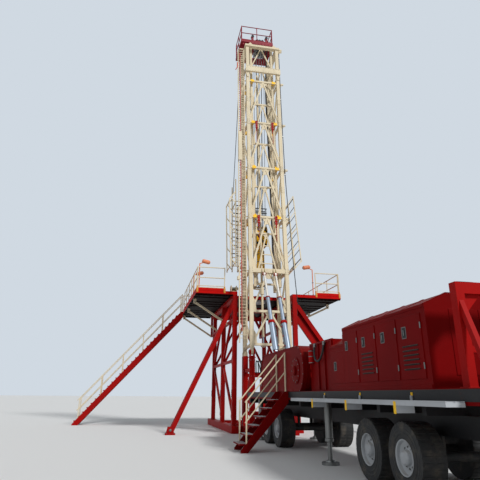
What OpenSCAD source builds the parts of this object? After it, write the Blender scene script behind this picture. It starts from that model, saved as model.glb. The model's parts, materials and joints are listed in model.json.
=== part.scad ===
// Mobile oil drilling rig: a two-section telescoping mast on a carrier, with its rig floor behind it.
// X runs across the rig, Y from the carrier to the rig floor, Z up from the ground.
// The origin lies on the ground, under the middle of the mast's hinge.

/* [Mast] */
// Height of the mast's hinge over the ground
hinge_h = 3300; // [3250:10:3350]
// How far the raised mast leans over the well, in degrees
lean = 3.5; // [3:0.1:4]
// Width of the lower section, between leg centres
mast_w = 1730; // [1700:10:1800]
// Depth of the lower section, between leg centres
mast_d = 1450; // [1430:10:1500]
// Square size of the lower section's legs
leg = 170; // [150:5:180]
// Height of the lowest cross member over the hinge
low_beam_h = 1800; // [1780:5:1820]
// Height over the hinge of the beam that the raising cylinders push on
push_beam_h = 3700; // [3690:5:3750]
// Number of braced panels above the push beam
panels = 4; // [4]
// Height of the top bay, which carries the box beam
top_bay_h = 2400; // [2350:10:2450]
// Height of the lower section's top over the hinge
mast_top_h = 17100; // [17050:10:17150]
// Distance of the box beam under the top
box_beam_drop = 1680; // [1640:10:1720]
// Square size of the mast's cross members
cross_bar = 100; // [90:5:110]
// Square size of the mast's diagonals
diag_bar = 78; // [60:1:80]

/* [Upper section] */
// Width of the upper section, between leg centres
inner_w = 1210; // [1180:10:1230]
// Depth of the upper section, between leg centres
inner_d = 960; // [930:10:980]
// Square size of the upper section's legs
inner_leg = 120; // [110:5:130]
// Height of the upper section's lowest cross member over the hinge
inner_low_h = 3130; // [3100:10:3200]
// Number of panels in the upper section
inner_panels = 5; // [5]
// Height of the upper section's top bay, under the crown
inner_top_h = 1520; // [1480:10:1560]
// Height of the crown's base over the lower section's top, with the mast run in
crown_rise = 300; // [260:10:340]
// Square size of the upper section's bars
inner_bar = 66; // [60:1:70]
// Diameter of the sheaves in the crown and the block
sheave_d = 700; // [660:10:740]

/* [Travelling block] */
// Height of the hook's tip over the ground
hook_h = 7300; // [7250:10:7500]
// Width of the block across its sheaves
block_w = 560; // [520:10:600]

/* [Raising cylinders] */
// Distance between the two cylinders
ram_gap = 540; // [520:10:560]
// Distance of the cylinders' feet from the hinge
ram_foot_y = 1780; // [1770:5:1800]
// Height of the cylinders' feet over the ground
ram_foot_h = 3120; // [3110:5:3125]
// Diameter of the cylinders' barrels
ram_d = 235; // [220:5:235]

/* [Rig floor] */
// Height of the floor's walking surface
floor_h = 6100; // [6000:10:6150]
// Thickness of the rig floor's panels
floor_t = 150; // [130:5:180]
// Left edge of the floor, from the middle of the mast
floor_left = 3300; // [3200:10:3400]
// Right edge of the floor, from the middle of the mast
floor_right = 3800; // [3700:10:3900]
// Distance from the hinge to the near edge of the floor
floor_near = 900; // [880:10:950]
// Length of the floor, away from the carrier
floor_deep = 7500; // [7400:10:7600]
// Half the width of the tower under the floor, to the posts' outer faces
tower_half_w = 1550; // [1540:5:1600]
// Square size of the tower's posts
post = 200; // [180:5:210]
// Distance between the tower's posts
bay = 3000; // [2950:10:3050]
// Height of the handrails
rail_h = 1100; // [1050:10:1150]
// Diameter of the handrail tubes
rail_d = 48; // [42:1:54]

/* [Carrier] */
// Height of the carrier's deck
deck_h = 1650; // [1620:10:1680]
// Half the width of the deck
deck_half_w = 1250; // [1230:10:1260]
// Length of the deck
deck_len = 14600; // [14500:50:14700]
// Height of the engine hood's eaves over the ground
hood_eave_h = 2970; // [2900:10:2980]
// Diameter of the tyres
tyre_d = 1120; // [1080:10:1160]

/* [Hidden] */
$fn = 48;
pin_d = 100;
pin_fit = 0.3;
clear = 10;
mast_hw = mast_w / 2;
panel_h = (mast_top_h - top_bay_h - push_beam_h) / panels;
box_beam_h = mast_top_h - box_beam_drop;
crown_h = mast_top_h + crown_rise;
inner_panel_h = (crown_h - inner_top_h - inner_low_h) / inner_panels;
inner_hw = inner_w / 2;
inner_y = (mast_d - inner_d) / 2;
foot_h = 160;
seat_gap = 5;
floor_far = floor_near + floor_deep;
post_x = tower_half_w - post / 2;
deck_rear = -900;
deck_front = deck_rear - deck_len;
post_ys = [for (i = [0:2]) floor_near + post / 2 + i * bay];
back_hs = concat([low_beam_h, push_beam_h], [for (i = [1:panels]) push_beam_h + i * panel_h]);
inner_hs = [for (i = [0:inner_panels]) inner_low_h + i * inner_panel_h];

// Crown axle in the mast's own frame, and where the block hangs plumb below it
crown_axle = [0, mast_d / 2, crown_h + 90];
crown_y = crown_axle.y * cos(lean) + crown_axle.z * sin(lean);
crown_z = hinge_h + crown_axle.z * cos(lean) - crown_axle.y * sin(lean);

// Raising cylinders, from the foot pin to the pin on the push beam
ram_pin = [-200, push_beam_h - 200];
ram_foot = [-ram_foot_y, ram_foot_h];
ram_head = [ram_pin.x * cos(lean) + ram_pin.y * sin(lean),
    hinge_h + ram_pin.y * cos(lean) - ram_pin.x * sin(lean)];
ram_run = norm(ram_head - ram_foot);
ram_lean = atan2(ram_head.x - ram_foot.x, ram_head.y - ram_foot.y);
ram_short = norm([-ram_pin.y + ram_foot_y, hinge_h + ram_pin.x - ram_foot_h]);
ram_stroke = (ram_run - ram_short) / 2;
ram_barrel = ram_short - 195;
stage_d = ram_d - 70;
rod_d = stage_d - 60;
stage_low = 140;

// A rectangular bar from p to q, w wide in its upright plane and t thick across it
module bar(p, q, w, t) {
    v = q - p;
    run = norm(v);
    thick = is_undef(t) ? w : t;
    translate(p) rotate([0, acos(v.z / run), atan2(v.y, v.x)])
        translate([-w / 2, -thick / 2, 0]) cube([w, thick, run]);
}

// A light tube of eight sides from p to q
module tube(p, q, d) {
    v = q - p;
    run = norm(v);
    translate(p) rotate([0, acos(v.z / run), atan2(v.y, v.x)]) cylinder(d=d, h=run, $fn=8);
}

// A block given by its lowest and highest corners
module block(a, b) {
    translate(a) cube(b - a);
}

// A copy of the children on either side of the rig's middle plane
module both_sides() {
    children();
    mirror([1, 0, 0]) children();
}

// Places the children in the raised mast's frame: its origin is the hinge, its Z runs up the mast
module on_mast() {
    translate([0, 0, hinge_h]) rotate([-lean, 0, 0]) children();
}

// Places the children along a raising cylinder: the origin is its foot pin, Z runs up the cylinder
module on_ram() {
    for (x = [-ram_gap / 2, ram_gap / 2])
        translate([x, ram_foot.x, ram_foot.y]) rotate([-ram_lean, 0, 0]) children();
}

// A handrail from p to q with three rails and a post at each end of each bay
module handrail(p, q, bays) {
    up = [0, 0, rail_h];
    for (i = [0:bays]) let (b = p + (q - p) * i / bays) tube(b, b + up + [0, 0, rail_d / 2], rail_d);
    for (k = [0.12, 0.55, 1]) tube(p + up * k, q + up * k, rail_d);
}

// Carrier

module chassis() {
    color("dimgray") {
        both_sides() block([380, deck_front, 900], [520, deck_rear, 1250]);
        for (y = [deck_front + 60 : (deck_len - 300) / 9 : deck_rear - 100]) {
            block([-390, y, 960], [390, y + 120, 1180]);
            block([-deck_half_w + 60, y, 1250], [deck_half_w - 60, y + 120, deck_h - 80]);
        }
    }
}

module deck() {
    color("darkred") {
        block([-deck_half_w, deck_front, deck_h - 80], [deck_half_w, deck_rear, deck_h]);
        both_sides() block([deck_half_w - 50, deck_front, deck_h - 230], [deck_half_w, deck_rear, deck_h - 70]);
    }
}

axle_gap = 1400;
front_axle = deck_front + 2500;
rear_axle = deck_rear - 2700;
axle_ys = [rear_axle, rear_axle - axle_gap, front_axle + axle_gap, front_axle];
module wheels() {
    color([0.1, 0.1, 0.1]) for (y = axle_ys) translate([0, y, tyre_d / 2]) {
        rotate([0, 90, 0]) cylinder(d=160, h=1500, center=true);
        both_sides() translate([740, 0, 0]) rotate([0, 90, 0]) difference() {
            cylinder(d=tyre_d, h=440);
            translate([0, 0, 330]) cylinder(d=tyre_d * 0.5, h=200);
        }
        both_sides() block([420, -60, 70], [480, 60, 900 - tyre_d / 2]);
    }
}

jack_ys = [-2300, -9200];
module jacks() {
    color("silver") for (y = jack_ys) both_sides() translate([1050, y, 0]) {
        cylinder(d=420, h=60);
        cylinder(d=110, h=700);
        translate([0, 0, 500]) cylinder(d=180, h=deck_h - 580);
    }
}

walk_near = deck_front + 500;
walk_far = -7850;
walk_w = 300;
walk_gap = 30;
walk_drop = 190;
walk_bay = 2000;
module side_walkway() {
    top = deck_h - walk_drop;
    edge = -deck_half_w - walk_gap;
    color("lightgray") {
        block([edge - walk_w, walk_near, top - 60], [edge, walk_far, top]);
        for (i = [0:2]) let (y = walk_far - 1760 - i * walk_bay) {
            block([edge - walk_w, y, top - 180], [edge + 20, y + 60, top - 59]);
            block([edge, y, top - 180], [-deck_half_w, y + 60, deck_h - 100]);
        }
    }
}

module mast_stand() {
    color("firebrick") {
        both_sides() {
            // the hinge post with its two cheeks and pin
            block([mast_hw - 110, -110, 300], [mast_hw + 110, 110, hinge_h - 160]);
            for (x = [-110, 60]) translate([mast_hw + x, 0, 0]) {
                block([0, -90, hinge_h - 220], [50, 90, hinge_h]);
                translate([0, 0, hinge_h]) rotate([0, 90, 0]) cylinder(d=220, h=50);
            }
            translate([mast_hw - 135, 0, hinge_h]) rotate([0, 90, 0]) cylinder(d=pin_d, h=270);
            // the seat under the front leg
            intersection() {
                block([mast_hw - 110, mast_d - 180, 300], [mast_hw + 110, mast_d + 150, hinge_h]);
                on_mast() block([-2000, mast_d - 400, -3300], [2000, mast_d + 400, -seat_gap]);
            }
            bar([mast_hw, 0, 2900], [mast_hw, mast_d, 500], 140, 96);
            block([mast_hw - 60, 100, 2500], [mast_hw + 60, mast_d - 170, 2640]);
            block([mast_hw - 60, 100, 1200], [mast_hw + 60, mast_d - 170, 1340]);
        }
        for (z = [700, 2300]) {
            block([-mast_hw, -60, z], [mast_hw, 60, z + 160]);
            block([-mast_hw, mast_d - 60, z], [mast_hw, mast_d + 60, z + 160]);
        }
    }
}

module cylinder_base() {
    color("firebrick") {
        for (x = [-ram_gap / 2, ram_gap / 2]) translate([x, ram_foot.x, 0]) {
            for (s = [-90, 60]) {
                block([s, -110, deck_h + 200], [s + 30, 110, ram_foot.y]);
                translate([s, 0, ram_foot.y]) rotate([0, 90, 0]) cylinder(d=220, h=30);
            }
            translate([-105, 0, ram_foot.y]) rotate([0, 90, 0]) cylinder(d=90, h=210);
            block([-90, -110, deck_h + 200], [90, 110, ram_foot.y - 260]);
        }
        block([-520, ram_foot.x - 200, deck_h], [520, ram_foot.x + 200, deck_h + 300]);
    }
}

rest_y = deck_front + 750;
rest_hw = 1040;
module mast_rest() {
    rest_top = hinge_h - leg / 2 - clear;
    foot_y = rest_y - 560;
    color("firebrick") difference() {
        union() {
            both_sides() {
                block([rest_hw - 140, rest_y - 80, deck_h], [rest_hw, rest_y + 80, rest_top - 140]);
                bar([rest_hw - 70, foot_y, deck_h - 60], [rest_hw - 70, rest_y - 40, rest_top - 300], 90, 80);
            }
            block([-rest_hw, rest_y - 80, rest_top - 180], [rest_hw, rest_y + 80, rest_top]);
            block([-rest_hw, rest_y - 60, deck_h + 500], [rest_hw, rest_y + 60, deck_h + 600]);
        }
        block([-deck_half_w, foot_y - 300, 0], [deck_half_w, rest_y + 300, deck_h]);
    }
}

house_near = -8200;
house_far = -3450;
house_h = 2880;
house_hw = deck_half_w + 40;
drum_r = 650;
module drawworks_housing() {
    far_r = 450;
    // the guard wraps the drum at its near end and ends in a smaller round at its far end
    color("darkred") difference() {
        translate([-house_hw, 0, 0]) rotate([90, 0, 90]) linear_extrude(2 * house_hw) union() {
            translate([house_near + drum_r, house_h - drum_r]) circle(drum_r);
            translate([house_far - far_r, house_h - far_r]) circle(far_r);
            translate([house_near + drum_r, deck_h - 200]) 
                square([house_far - house_near - drum_r, house_h - far_r - deck_h + 200]);
            translate([house_near + drum_r, deck_h]) 
                square([house_far - house_near - drum_r - far_r, house_h - deck_h]);
        }
        block([-house_hw - 50, house_near - 50, 0], [house_hw + 50, house_far + 50, deck_h]);
    }
}

pack_hw = 900;
pack_near = -3430;
pack_far = -2400;
pack_h = 2450;
tank_w = 250;
tank_h = 2100;
tank_inset = 150;
module power_pack() {
    color("firebrick") {
        block([-pack_hw, pack_near, deck_h], [pack_hw, pack_far, pack_h]);
        block([-pack_hw - tank_w, pack_near + tank_inset, deck_h], [-pack_hw, pack_far - tank_inset, tank_h]);
    }
}

// A hood over the deck: upright sides to the eaves, then two slopes up to a flat ridge
module hood(near, far, hw, eave, rise, slope_w) {
    translate([0, far, 0]) rotate([90, 0, 0]) linear_extrude(far - near)
        polygon([[-hw, deck_h], [hw, deck_h], [hw, eave], [hw - slope_w, eave + rise],
            [slope_w - hw, eave + rise], [-hw, eave]]);
}

gear_near = -10780;
wall_near = -9900;
wall_hw = 1100;
wall_h = 2850;
gear_eave_h = 2650;
module gearbox_hood() {
    color("darkred") {
        block([-wall_hw, wall_near, deck_h], [wall_hw, house_near - 10, wall_h]);
        hood(gear_near, wall_near, wall_hw + 80, gear_eave_h, 160, 280);
        // the oil filter on the wall
        translate([-wall_hw - 50, house_near - 250, 2330]) cylinder(d=150, h=360);
    }
}

hood_front = deck_front + 1300;
module engine_hood() {
    color("darkred") hood(hood_front, gear_near - 5, deck_half_w - 30, hood_eave_h, 190, 420);
}

stair_y = -6550;
stair_w = 1000;
deck_steps = 6;
deck_going = 205;
stair_rail_d = rail_d - 8;
stair_post_in = 14;
module deck_stringers(grow=0) {
    run = deck_going * (deck_steps + 1);
    translate([-deck_half_w, stair_y, 0]) for (y = [40, stair_w])
        translate([0, y + grow, 0]) rotate([90, 0, 0]) linear_extrude(40 + 2 * grow)
            polygon([[0, deck_h], [0, deck_h - 320], [-run + deck_going, 0], [-run, 0], [-run, 60],
                [-120, deck_h]]);
}
module deck_stair() {
    rise = deck_h / (deck_steps + 1);
    color("darkred") deck_stringers();
    color("darkred") translate([-deck_half_w, stair_y, 0]) {
        for (i = [1:deck_steps])
            block([-deck_going * i - 240, 39, deck_h - rise * i - 40],
                [-deck_going * i + 20, stair_w - 39, deck_h - rise * i]);
    }
}

module deck_stair_rails() {
    slope = [-deck_going * deck_steps, 0, -deck_h * deck_steps / (deck_steps + 1)];
    up = [0, 0, rail_h];
    down = [0, 0, -100];
    color("wheat") difference() {
        for (y = [stair_post_in, stair_w - stair_post_in]) translate([-deck_half_w - 80, stair_y + y, deck_h]) {
            for (k = [0, 0.97]) tube(slope * k + down, slope * k + up * 1.02, rail_d);
            for (k = [0.5, 1]) tube(up * k - slope * 0.005, up * k + slope, stair_rail_d);
        }
        deck_stringers(20);
    }
}

// Tower and rig floor

module ground_skids() {
    color("firebrick") {
        both_sides() {
            block([post_x - 150, floor_near - 200, 0], [post_x + 150, floor_far - 400, 300]);
            block([mast_hw - 150, -500, 0], [mast_hw + 150, mast_d + 300, 300]);
        }
        block([-mast_hw - 100, -150, 0], [mast_hw + 100, 150, 250]);
        for (y = [mast_d, post_ys[1], post_ys[2]]) block([-post_x, y - 120, 0], [post_x, y + 120, 250]);
    }
}

strut_h = 4750;
module tower_side() {
    top = floor_h - floor_t - 140;
    for (y = post_ys) block([post_x - post / 2, y - post / 2, 300], [post_x + post / 2, y + post / 2, top]);
    block([post_x - post / 2, floor_near, top], [post_x + post / 2, floor_far - 300, floor_h - floor_t]);
    for (i = [0:1]) {
        bar([post_x, post_ys[i], 500], [post_x, post_ys[i + 1], 3000], 120, 100);
        bar([post_x, post_ys[i + 1], 3000], [post_x, post_ys[i], top - 150], 120, 100);
        block([post_x - 60, post_ys[i], 2940], [post_x + 60, post_ys[i + 1], 3060]);
    }
    // the rail that the wing struts land on, with its end hanger
    block([tower_half_w - 120, post_ys[0], strut_h], [tower_half_w, floor_far - 300, strut_h + 120]);
    block([tower_half_w - 120, floor_far - 420, strut_h], [tower_half_w, floor_far - 300, top + 10]);
}
module tower_left() { color("firebrick") mirror([1, 0, 0]) tower_side(); }
module tower_right() { color("firebrick") tower_side(); }

module tower_ties() {
    w = post_x - post / 2;
    color("firebrick") difference() {
        for (y = [post_ys[1], post_ys[2]]) {
            block([-w, y - 70, floor_h - floor_t - 320], [w, y + 70, floor_h - floor_t - 140]);
            bar([-w - 60, y, 3000], [0, y, floor_h - floor_t - 230], 110, 90);
            bar([w + 60, y, 3000], [0, y, floor_h - floor_t - 230], 110, 90);
        }
        both_sides() block([w, floor_near, 0], [w + 400, floor_far, floor_h]);
    }
}

raker_foot_y = 500;
raker_out_left = 4200;
raker_out_right = 4850;
raker_twin = 450;
raker_drop_left = 580;
raker_drop_right = 1160;
raker_drop_twin = 490;
module raker(foot_x, seat_h) {
    foot = [foot_x, raker_foot_y, 60];
    seat = [tower_half_w, post_ys[0], seat_h];
    difference() {
        union() {
            bar(foot, seat + (seat - foot) * 0.05, 180, 190);
            block(foot + [-200, -220, -60], foot + [200, 220, 0]);
        }
        block([0, 0, 0], [tower_half_w, floor_far, floor_h]);
        block([0, -900, -900], [foot_x + 900, 900, 0]);
    }
}
module raker_left() { color("firebrick") mirror([1, 0, 0]) raker(raker_out_left, floor_h - raker_drop_left); }
// the right side leans on a pair of rakers
module raker_right() {
    color("firebrick") raker(raker_out_right, floor_h - raker_drop_right);
    color("firebrick") raker(raker_out_right + raker_twin, floor_h - raker_drop_twin);
}

center_near = 1900;
table_y = 2600;
table_d = 900;
module floor_center() {
    color("firebrick") difference() {
        union() {
            block([-tower_half_w, center_near, floor_h - 60], [tower_half_w, floor_far, floor_h]);
            for (y = [center_near, floor_far - 120, 5000])
                block([-tower_half_w, y, floor_h - floor_t], [tower_half_w, y + 120, floor_h]);
            both_sides() block([tower_half_w - 120, center_near, floor_h - floor_t], [tower_half_w, floor_far, floor_h]);
        }
        translate([0, table_y, floor_h - 500]) cylinder(d=table_d, h=600);
    }
}

toe_h = 115;
toe_t = 14;
module wing(edge, rail_in, far_cut) {
    x0 = tower_half_w + 2;
    block([x0, floor_near, floor_h - floor_t], [edge, floor_far, floor_h]);
    // the part of the floor that runs on beside the mast
    block([x0 - 200, floor_near, floor_h - floor_t], [x0 + 10, center_near - 5, floor_h]);
    // toe boards along the railed edges
    block([rail_in, floor_near, floor_h - 1], [edge, floor_near + toe_t, floor_h + toe_h]);
    block([edge - toe_t, floor_near, floor_h - 1], [edge, floor_far - far_cut, floor_h + toe_h]);
}
rail_in_left = 1940;
rail_in_right = 2530;
module wing_left() { color("firebrick") mirror([1, 0, 0]) wing(floor_left, rail_in_left, flight_w + 100); }
module wing_right() { color("firebrick") wing(floor_right, rail_in_right, 0); }

strut_ys = [2400, 5300, 7900];
module wing_strut(edge, y) {
    under = floor_h - floor_t;
    lug = [edge - 120, y, under - 160];
    bar(lug, [tower_half_w - 60, y, strut_h], 90, 80);
    block(lug + [-60, -50, -60], lug + [60, 50, 160]);
}
module wing_struts() {
    color("wheat") difference() {
        for (y = strut_ys) {
            mirror([1, 0, 0]) wing_strut(floor_left, y);
            wing_strut(floor_right, y);
        }
        block([-tower_half_w, 0, 0], [tower_half_w, floor_far, floor_h]);
    }
}

// Each straight run of rail has posts of its own, and this gap lies between two runs at a corner
rail_gap = 60;
module floor_rails_left() {
    e = -floor_left + rail_d;
    y = floor_near + rail_d;
    color("wheat") translate([0, 0, floor_h]) {
        handrail([e, y, 0], [-rail_in_left - rail_d / 2, y, 0], 1);
        handrail([e, y + rail_d + rail_gap, 0], [e, floor_far - flight_w - 150, 0], 5);
    }
}

module floor_rails_right() {
    e = floor_right - rail_d;
    y = floor_near + rail_d;
    far = floor_far - rail_d;
    color("wheat") translate([0, 0, floor_h]) {
        handrail([rail_in_right + rail_d / 2, y, 0], [e, y, 0], 1);
        handrail([e, y + rail_d + rail_gap, 0], [e, far - rail_d - rail_gap, 0], 5);
        handrail([e, far, 0], [-floor_left + rail_d, far, 0], 5);
    }
}

flight_steps = 27;
flight_going = 196;
flight_w = 900;
module floor_stringers(grow=0) {
    run = flight_going * (flight_steps + 1);
    translate([-floor_left, floor_far - flight_w - 50, 0]) for (y = [50, flight_w])
        translate([0, y + grow, 0]) rotate([90, 0, 0]) linear_extrude(50 + 2 * grow)
            polygon([[0, floor_h], [0, floor_h - 330], [-run + 230, 0], [-run - 60, 0], [-run - 60, 60],
                [-120, floor_h]]);
}
module floor_stair() {
    rise = floor_h / (flight_steps + 1);
    color("firebrick") floor_stringers();
    color("firebrick") translate([-floor_left, floor_far - flight_w - 50, 0]) {
        for (i = [1:flight_steps])
            block([-flight_going * i - 200, 49, floor_h - rise * i - 35],
                [-flight_going * i + 30, flight_w - 49, floor_h - rise * i]);
    }
}

module floor_stair_rails() {
    run = flight_going * flight_steps;
    slope = [-run, 0, -floor_h * flight_steps / (flight_steps + 1)];
    up = [0, 0, 1000];
    down = [0, 0, -120];
    color("wheat") difference() {
        for (y = [25, flight_w - 25]) translate([-floor_left - 90, floor_far - flight_w - 50 + y, floor_h]) {
            for (i = [0:5]) tube(slope * i / 5.1 + down, slope * i / 5.1 + up * 1.02, rail_d);
            for (k = [0.5, 1]) tube(up * k - slope * 0.005, up * k + slope, stair_rail_d);
        }
        floor_stringers(20);
    }
}

// A work lamp on a pole that stands at p, with its head reaching over by r and turned by a
module lamp(p, r, a) {
    pole = 1300;
    translate(p) {
        tube([0, 0, 0], [0, 0, pole], 50);
        tube([0, 0, pole - 15], [r * 0.7, 0, pole + 70], 44);
        translate([r, 0, pole + 95]) rotate([0, 90 + a, 0])
            rotate_extrude() polygon([[0, -195], [55, -195], [95, -145], [95, 145], [55, 195], [0, 195]]);
    }
}
module floor_lamps() {
    color("orange") {
        lamp([-floor_left + 140, floor_near + 150, floor_h], 300, 12);
        lamp([-floor_left + 140, floor_near + 2600, floor_h], 300, -15);
        lamp([rail_in_right - 80, floor_near + 150, floor_h], -300, -10);
    }
}

winch_w = 280;
module tugger_winch() {
    color("wheat") translate([-tower_half_w - 90, floor_near + 60, floor_h]) {
        block([0, 0, 0], [winch_w, 340, 30]);
        for (x = [0, winch_w - 25]) block([x, 20, 29], [x + 25, 240, 300]);
        block([0, 240, 29], [winch_w, 340, 260]);
        translate([0, 125, 170]) rotate([0, 90, 0]) cylinder(d=90, h=winch_w);
        for (x = [30, winch_w - 50]) translate([x, 125, 170]) rotate([0, 90, 0]) cylinder(d=200, h=20);
    }
}

module rotary_table() {
    color("dimgray") translate([0, table_y, floor_h - 200]) difference() {
        union() {
            cylinder(d=table_d - 4, h=280);
            translate([0, 0, 200]) cylinder(d=table_d + 160, h=60);
        }
        translate([0, 0, -10]) cylinder(d=450, h=400);
    }
}

// Lower mast section

module mast_leg(s, y) {
    block([s * mast_hw - leg / 2, y - leg / 2, foot_h], [s * mast_hw + leg / 2, y + leg / 2, mast_top_h]);
}

module k_brace(hw, y, low, high, w) {
    for (s = [-1, 1]) bar([0, y, high], [s * hw, y, low], w, w * 0.9);
}

// An arm on the right leg's outer side, on a knee plate
arm_reach = 230;
module side_arm(h) {
    x = mast_hw + leg / 2;
    block([x - 10, -40, h - 45], [x + arm_reach, 40, h + 35]);
    translate([x - 10, 12, h - 40]) rotate([90, 0, 0]) linear_extrude(24)
        polygon([[0, 0], [0, -arm_reach], [arm_reach - 20, 0]]);
}

module mast_back() {
    color("wheat") on_mast() {
        difference() {
            union() for (s = [-1, 1]) {
                mast_leg(s, 0);
                translate([s * mast_hw - 50, 0, 0]) rotate([0, 90, 0]) cylinder(d=230, h=100);
                block([s * mast_hw - 50, -85, 0], [s * mast_hw + 50, 85, foot_h + 40]);
            }
            for (s = [-1, 1]) translate([s * mast_hw, 0, 0]) rotate([0, 90, 0])
                cylinder(d=pin_d + 2 * pin_fit, h=400, center=true);
        }
        for (i = [0:len(back_hs) - 1]) let (h = back_hs[i], w = i == 1 ? 200 : cross_bar) {
            block([-mast_hw, -w / 2 + (i == 1 ? 20 : 0), h - w / 2],
                [mast_hw, w / 2 - (i == 1 ? 20 : 0), h + w / 2]);
            k_brace(mast_hw, 0, i == 0 ? 330 : back_hs[i - 1], h, diag_bar);
        }
        // the lowest beam, with the seat of the scoping cylinder's rod
        block([-mast_hw, -50, 280], [mast_hw, 50, 380]);
        block([scope_x - 100, 40, 280], [scope_x + 100, scope_y + 70, 380]);
        for (h = concat([for (i = [2:panels + 1]) back_hs[i]], [mast_top_h - 40])) side_arm(h);
        for (x = [-ram_gap / 2, ram_gap / 2], s = [-75, 50]) {
            translate([x + s, ram_pin.x, ram_pin.y]) rotate([0, 90, 0]) cylinder(d=150, h=25);
            translate([x + s, 0, 0]) rotate([90, 0, 90]) linear_extrude(25)
                polygon([[ram_pin.x - 75, ram_pin.y], [ram_pin.x, ram_pin.y - 75], [-75, push_beam_h - 110],
                    [-75, push_beam_h + 90], [-110, push_beam_h + 90]]);
            translate([x + (s < 0 ? s - 20 : s + 25), ram_pin.x, ram_pin.y]) rotate([0, 90, 0])
                cylinder(d=80, h=20);
        }
    }
}

module mast_side(s) {
    x = s * mast_hw;
    difference() {
        union() {
            mast_leg(s, mast_d);
            block([x - leg / 2 - 20, mast_d - 110, 0], [x + leg / 2 + 20, mast_d + 110, foot_h + 10]);
            for (i = [0:len(back_hs) - 1]) {
                low = i == 0 ? 330 : back_hs[i - 1];
                block([x - cross_bar / 2, 0, back_hs[i] - cross_bar / 2],
                    [x + cross_bar / 2, mast_d, back_hs[i] + cross_bar / 2]);
                bar([x, i % 2 == 0 ? 0 : mast_d, low], [x, i % 2 == 0 ? mast_d : 0, back_hs[i]],
                    diag_bar, diag_bar * 0.9);
            }
            block([x - cross_bar / 2, 0, 280], [x + cross_bar / 2, mast_d, 380]);
        }
        block([x - 500, -500, 0], [x + 500, leg / 2, mast_top_h]);
    }
}
module mast_left_side() { color("wheat") on_mast() mast_side(-1); }
module mast_right_side() { color("wheat") on_mast() mast_side(1); }

beam_end = 130;
module mast_box_beams() {
    low = box_beam_h - 170;
    color("wheat") on_mast() {
        // the beam stands proud of the legs' back and ends in a knee plate on either leg
        block([-mast_hw - beam_end, -leg / 2 - 120, low], [mast_hw + beam_end, -leg / 2, box_beam_h + 170]);
        both_sides() translate([mast_hw, -leg / 2, low + 1]) rotate([90, 0, 0]) linear_extrude(40)
            polygon([[-80, 0], [-40, -350], [60, -350], [beam_end - 10, 0]]);
        // its ends wrap the outer sides of the mast
        for (s = [-1, 1]) block([s * (mast_hw + leg / 2 + 22) - 22, -leg / 2 - 1, box_beam_h - 120],
            [s * (mast_hw + leg / 2 + 22) + 22, mast_d + leg / 2, box_beam_h + 120]);
    }
}

// The top frame is open toward the well, so the hook passes when the mast is run out
module mast_top_frame() {
    o = mast_hw + leg / 2 + 60;
    well_x = mast_hw - leg / 2;
    color("wheat") on_mast() {
        difference() {
            block([-o, -leg / 2 - 60, mast_top_h], [o, mast_d + leg / 2 + 60, mast_top_h + 130]);
            block([-well_x, leg / 2, mast_top_h - 10], [well_x, mast_d + leg, mast_top_h + 200]);
        }
        block([o - 10, -60, mast_top_h + 20], [mast_hw + leg / 2 + arm_reach, 60, mast_top_h + 110]);
    }
}

module mast_ladder() {
    x0 = -mast_hw - leg / 2 - 440;
    color("wheat") on_mast() {
        for (x = [x0, x0 + 340]) block([x - 22, 60, 400], [x + 22, 110, mast_top_h - 200]);
        for (z = [600 : 300 : mast_top_h - 300]) block([x0, 75, z - 12], [x0 + 340, 99, z + 12]);
        for (h = back_hs) block([x0 + 330, 40, h - 20], [-mast_hw - leg / 2, 80, h + 20]);
    }
}

// Red latch housings under the beams, each with the rod that works it
latch_xs = [-440, 440];
latch_hs = [back_hs[2], back_hs[4]];
latch_side_y = 560;
module mast_latches() {
    back = -cross_bar / 2 - 0.3;
    side = -mast_hw - cross_bar / 2 - 0.3;
    color("firebrick") on_mast() for (h = latch_hs) {
        for (x = latch_xs) {
            block([x - 60, back - 60, h - 380], [x + 60, back, h + 30]);
            tube([x, back - 35, h - 1250], [x, back - 35, h - 375], 30);
        }
        block([side - 60, latch_side_y - 60, h - 380], [side, latch_side_y + 60, h + 30]);
        tube([side - 35, latch_side_y, h - 1250], [side - 35, latch_side_y, h - 375], 30);
    }
}

// Yellow blocks that guide the upper section's four legs as it slides
guide_w = 150;
guide_h = 170;
guide_gap = 8;
module mast_guides() {
    near = [cross_bar / 2 + 0.3, inner_y - inner_leg / 2 - guide_gap];
    far = [inner_hw + inner_leg / 2 + guide_gap, mast_hw - cross_bar / 2 - 0.3];
    far_y = inner_y + inner_d;
    color("gold") on_mast() both_sides() for (i = [2:panels + 1]) let (h = back_hs[i]) {
        block([inner_hw - guide_w / 2, near[0], h - 20], [inner_hw + guide_w / 2, near[1], h - 20 + guide_h]);
        block([far[0], far_y - guide_w / 2, h - 20], [far[1], far_y + guide_w / 2, h - 20 + guide_h]);
    }
}

// The pipe racking boards stand folded against the mast: an inner frame on brackets from the side
// beams, and the board's own frame, held off it by struts that rise outward
board_low = 3950;
board_high = 7480;
board_bar = 50;
board_seat = mast_hw + cross_bar / 2 + 0.3;
module board_brackets(x_low, x_mid, y) {
    r = board_bar / 2;
    // on the push beam's level the bracket stands up to the board's lowest rail
    block([board_seat, y - r, push_beam_h - r], [board_seat + board_bar, y + r, board_low + 65]);
    block([board_seat, y - r, board_low + 15], [x_low, y + r, board_low + 65]);
    block([board_seat, y - r, back_hs[2] - r], [x_mid, y + r, back_hs[2] + r]);
}

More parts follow.
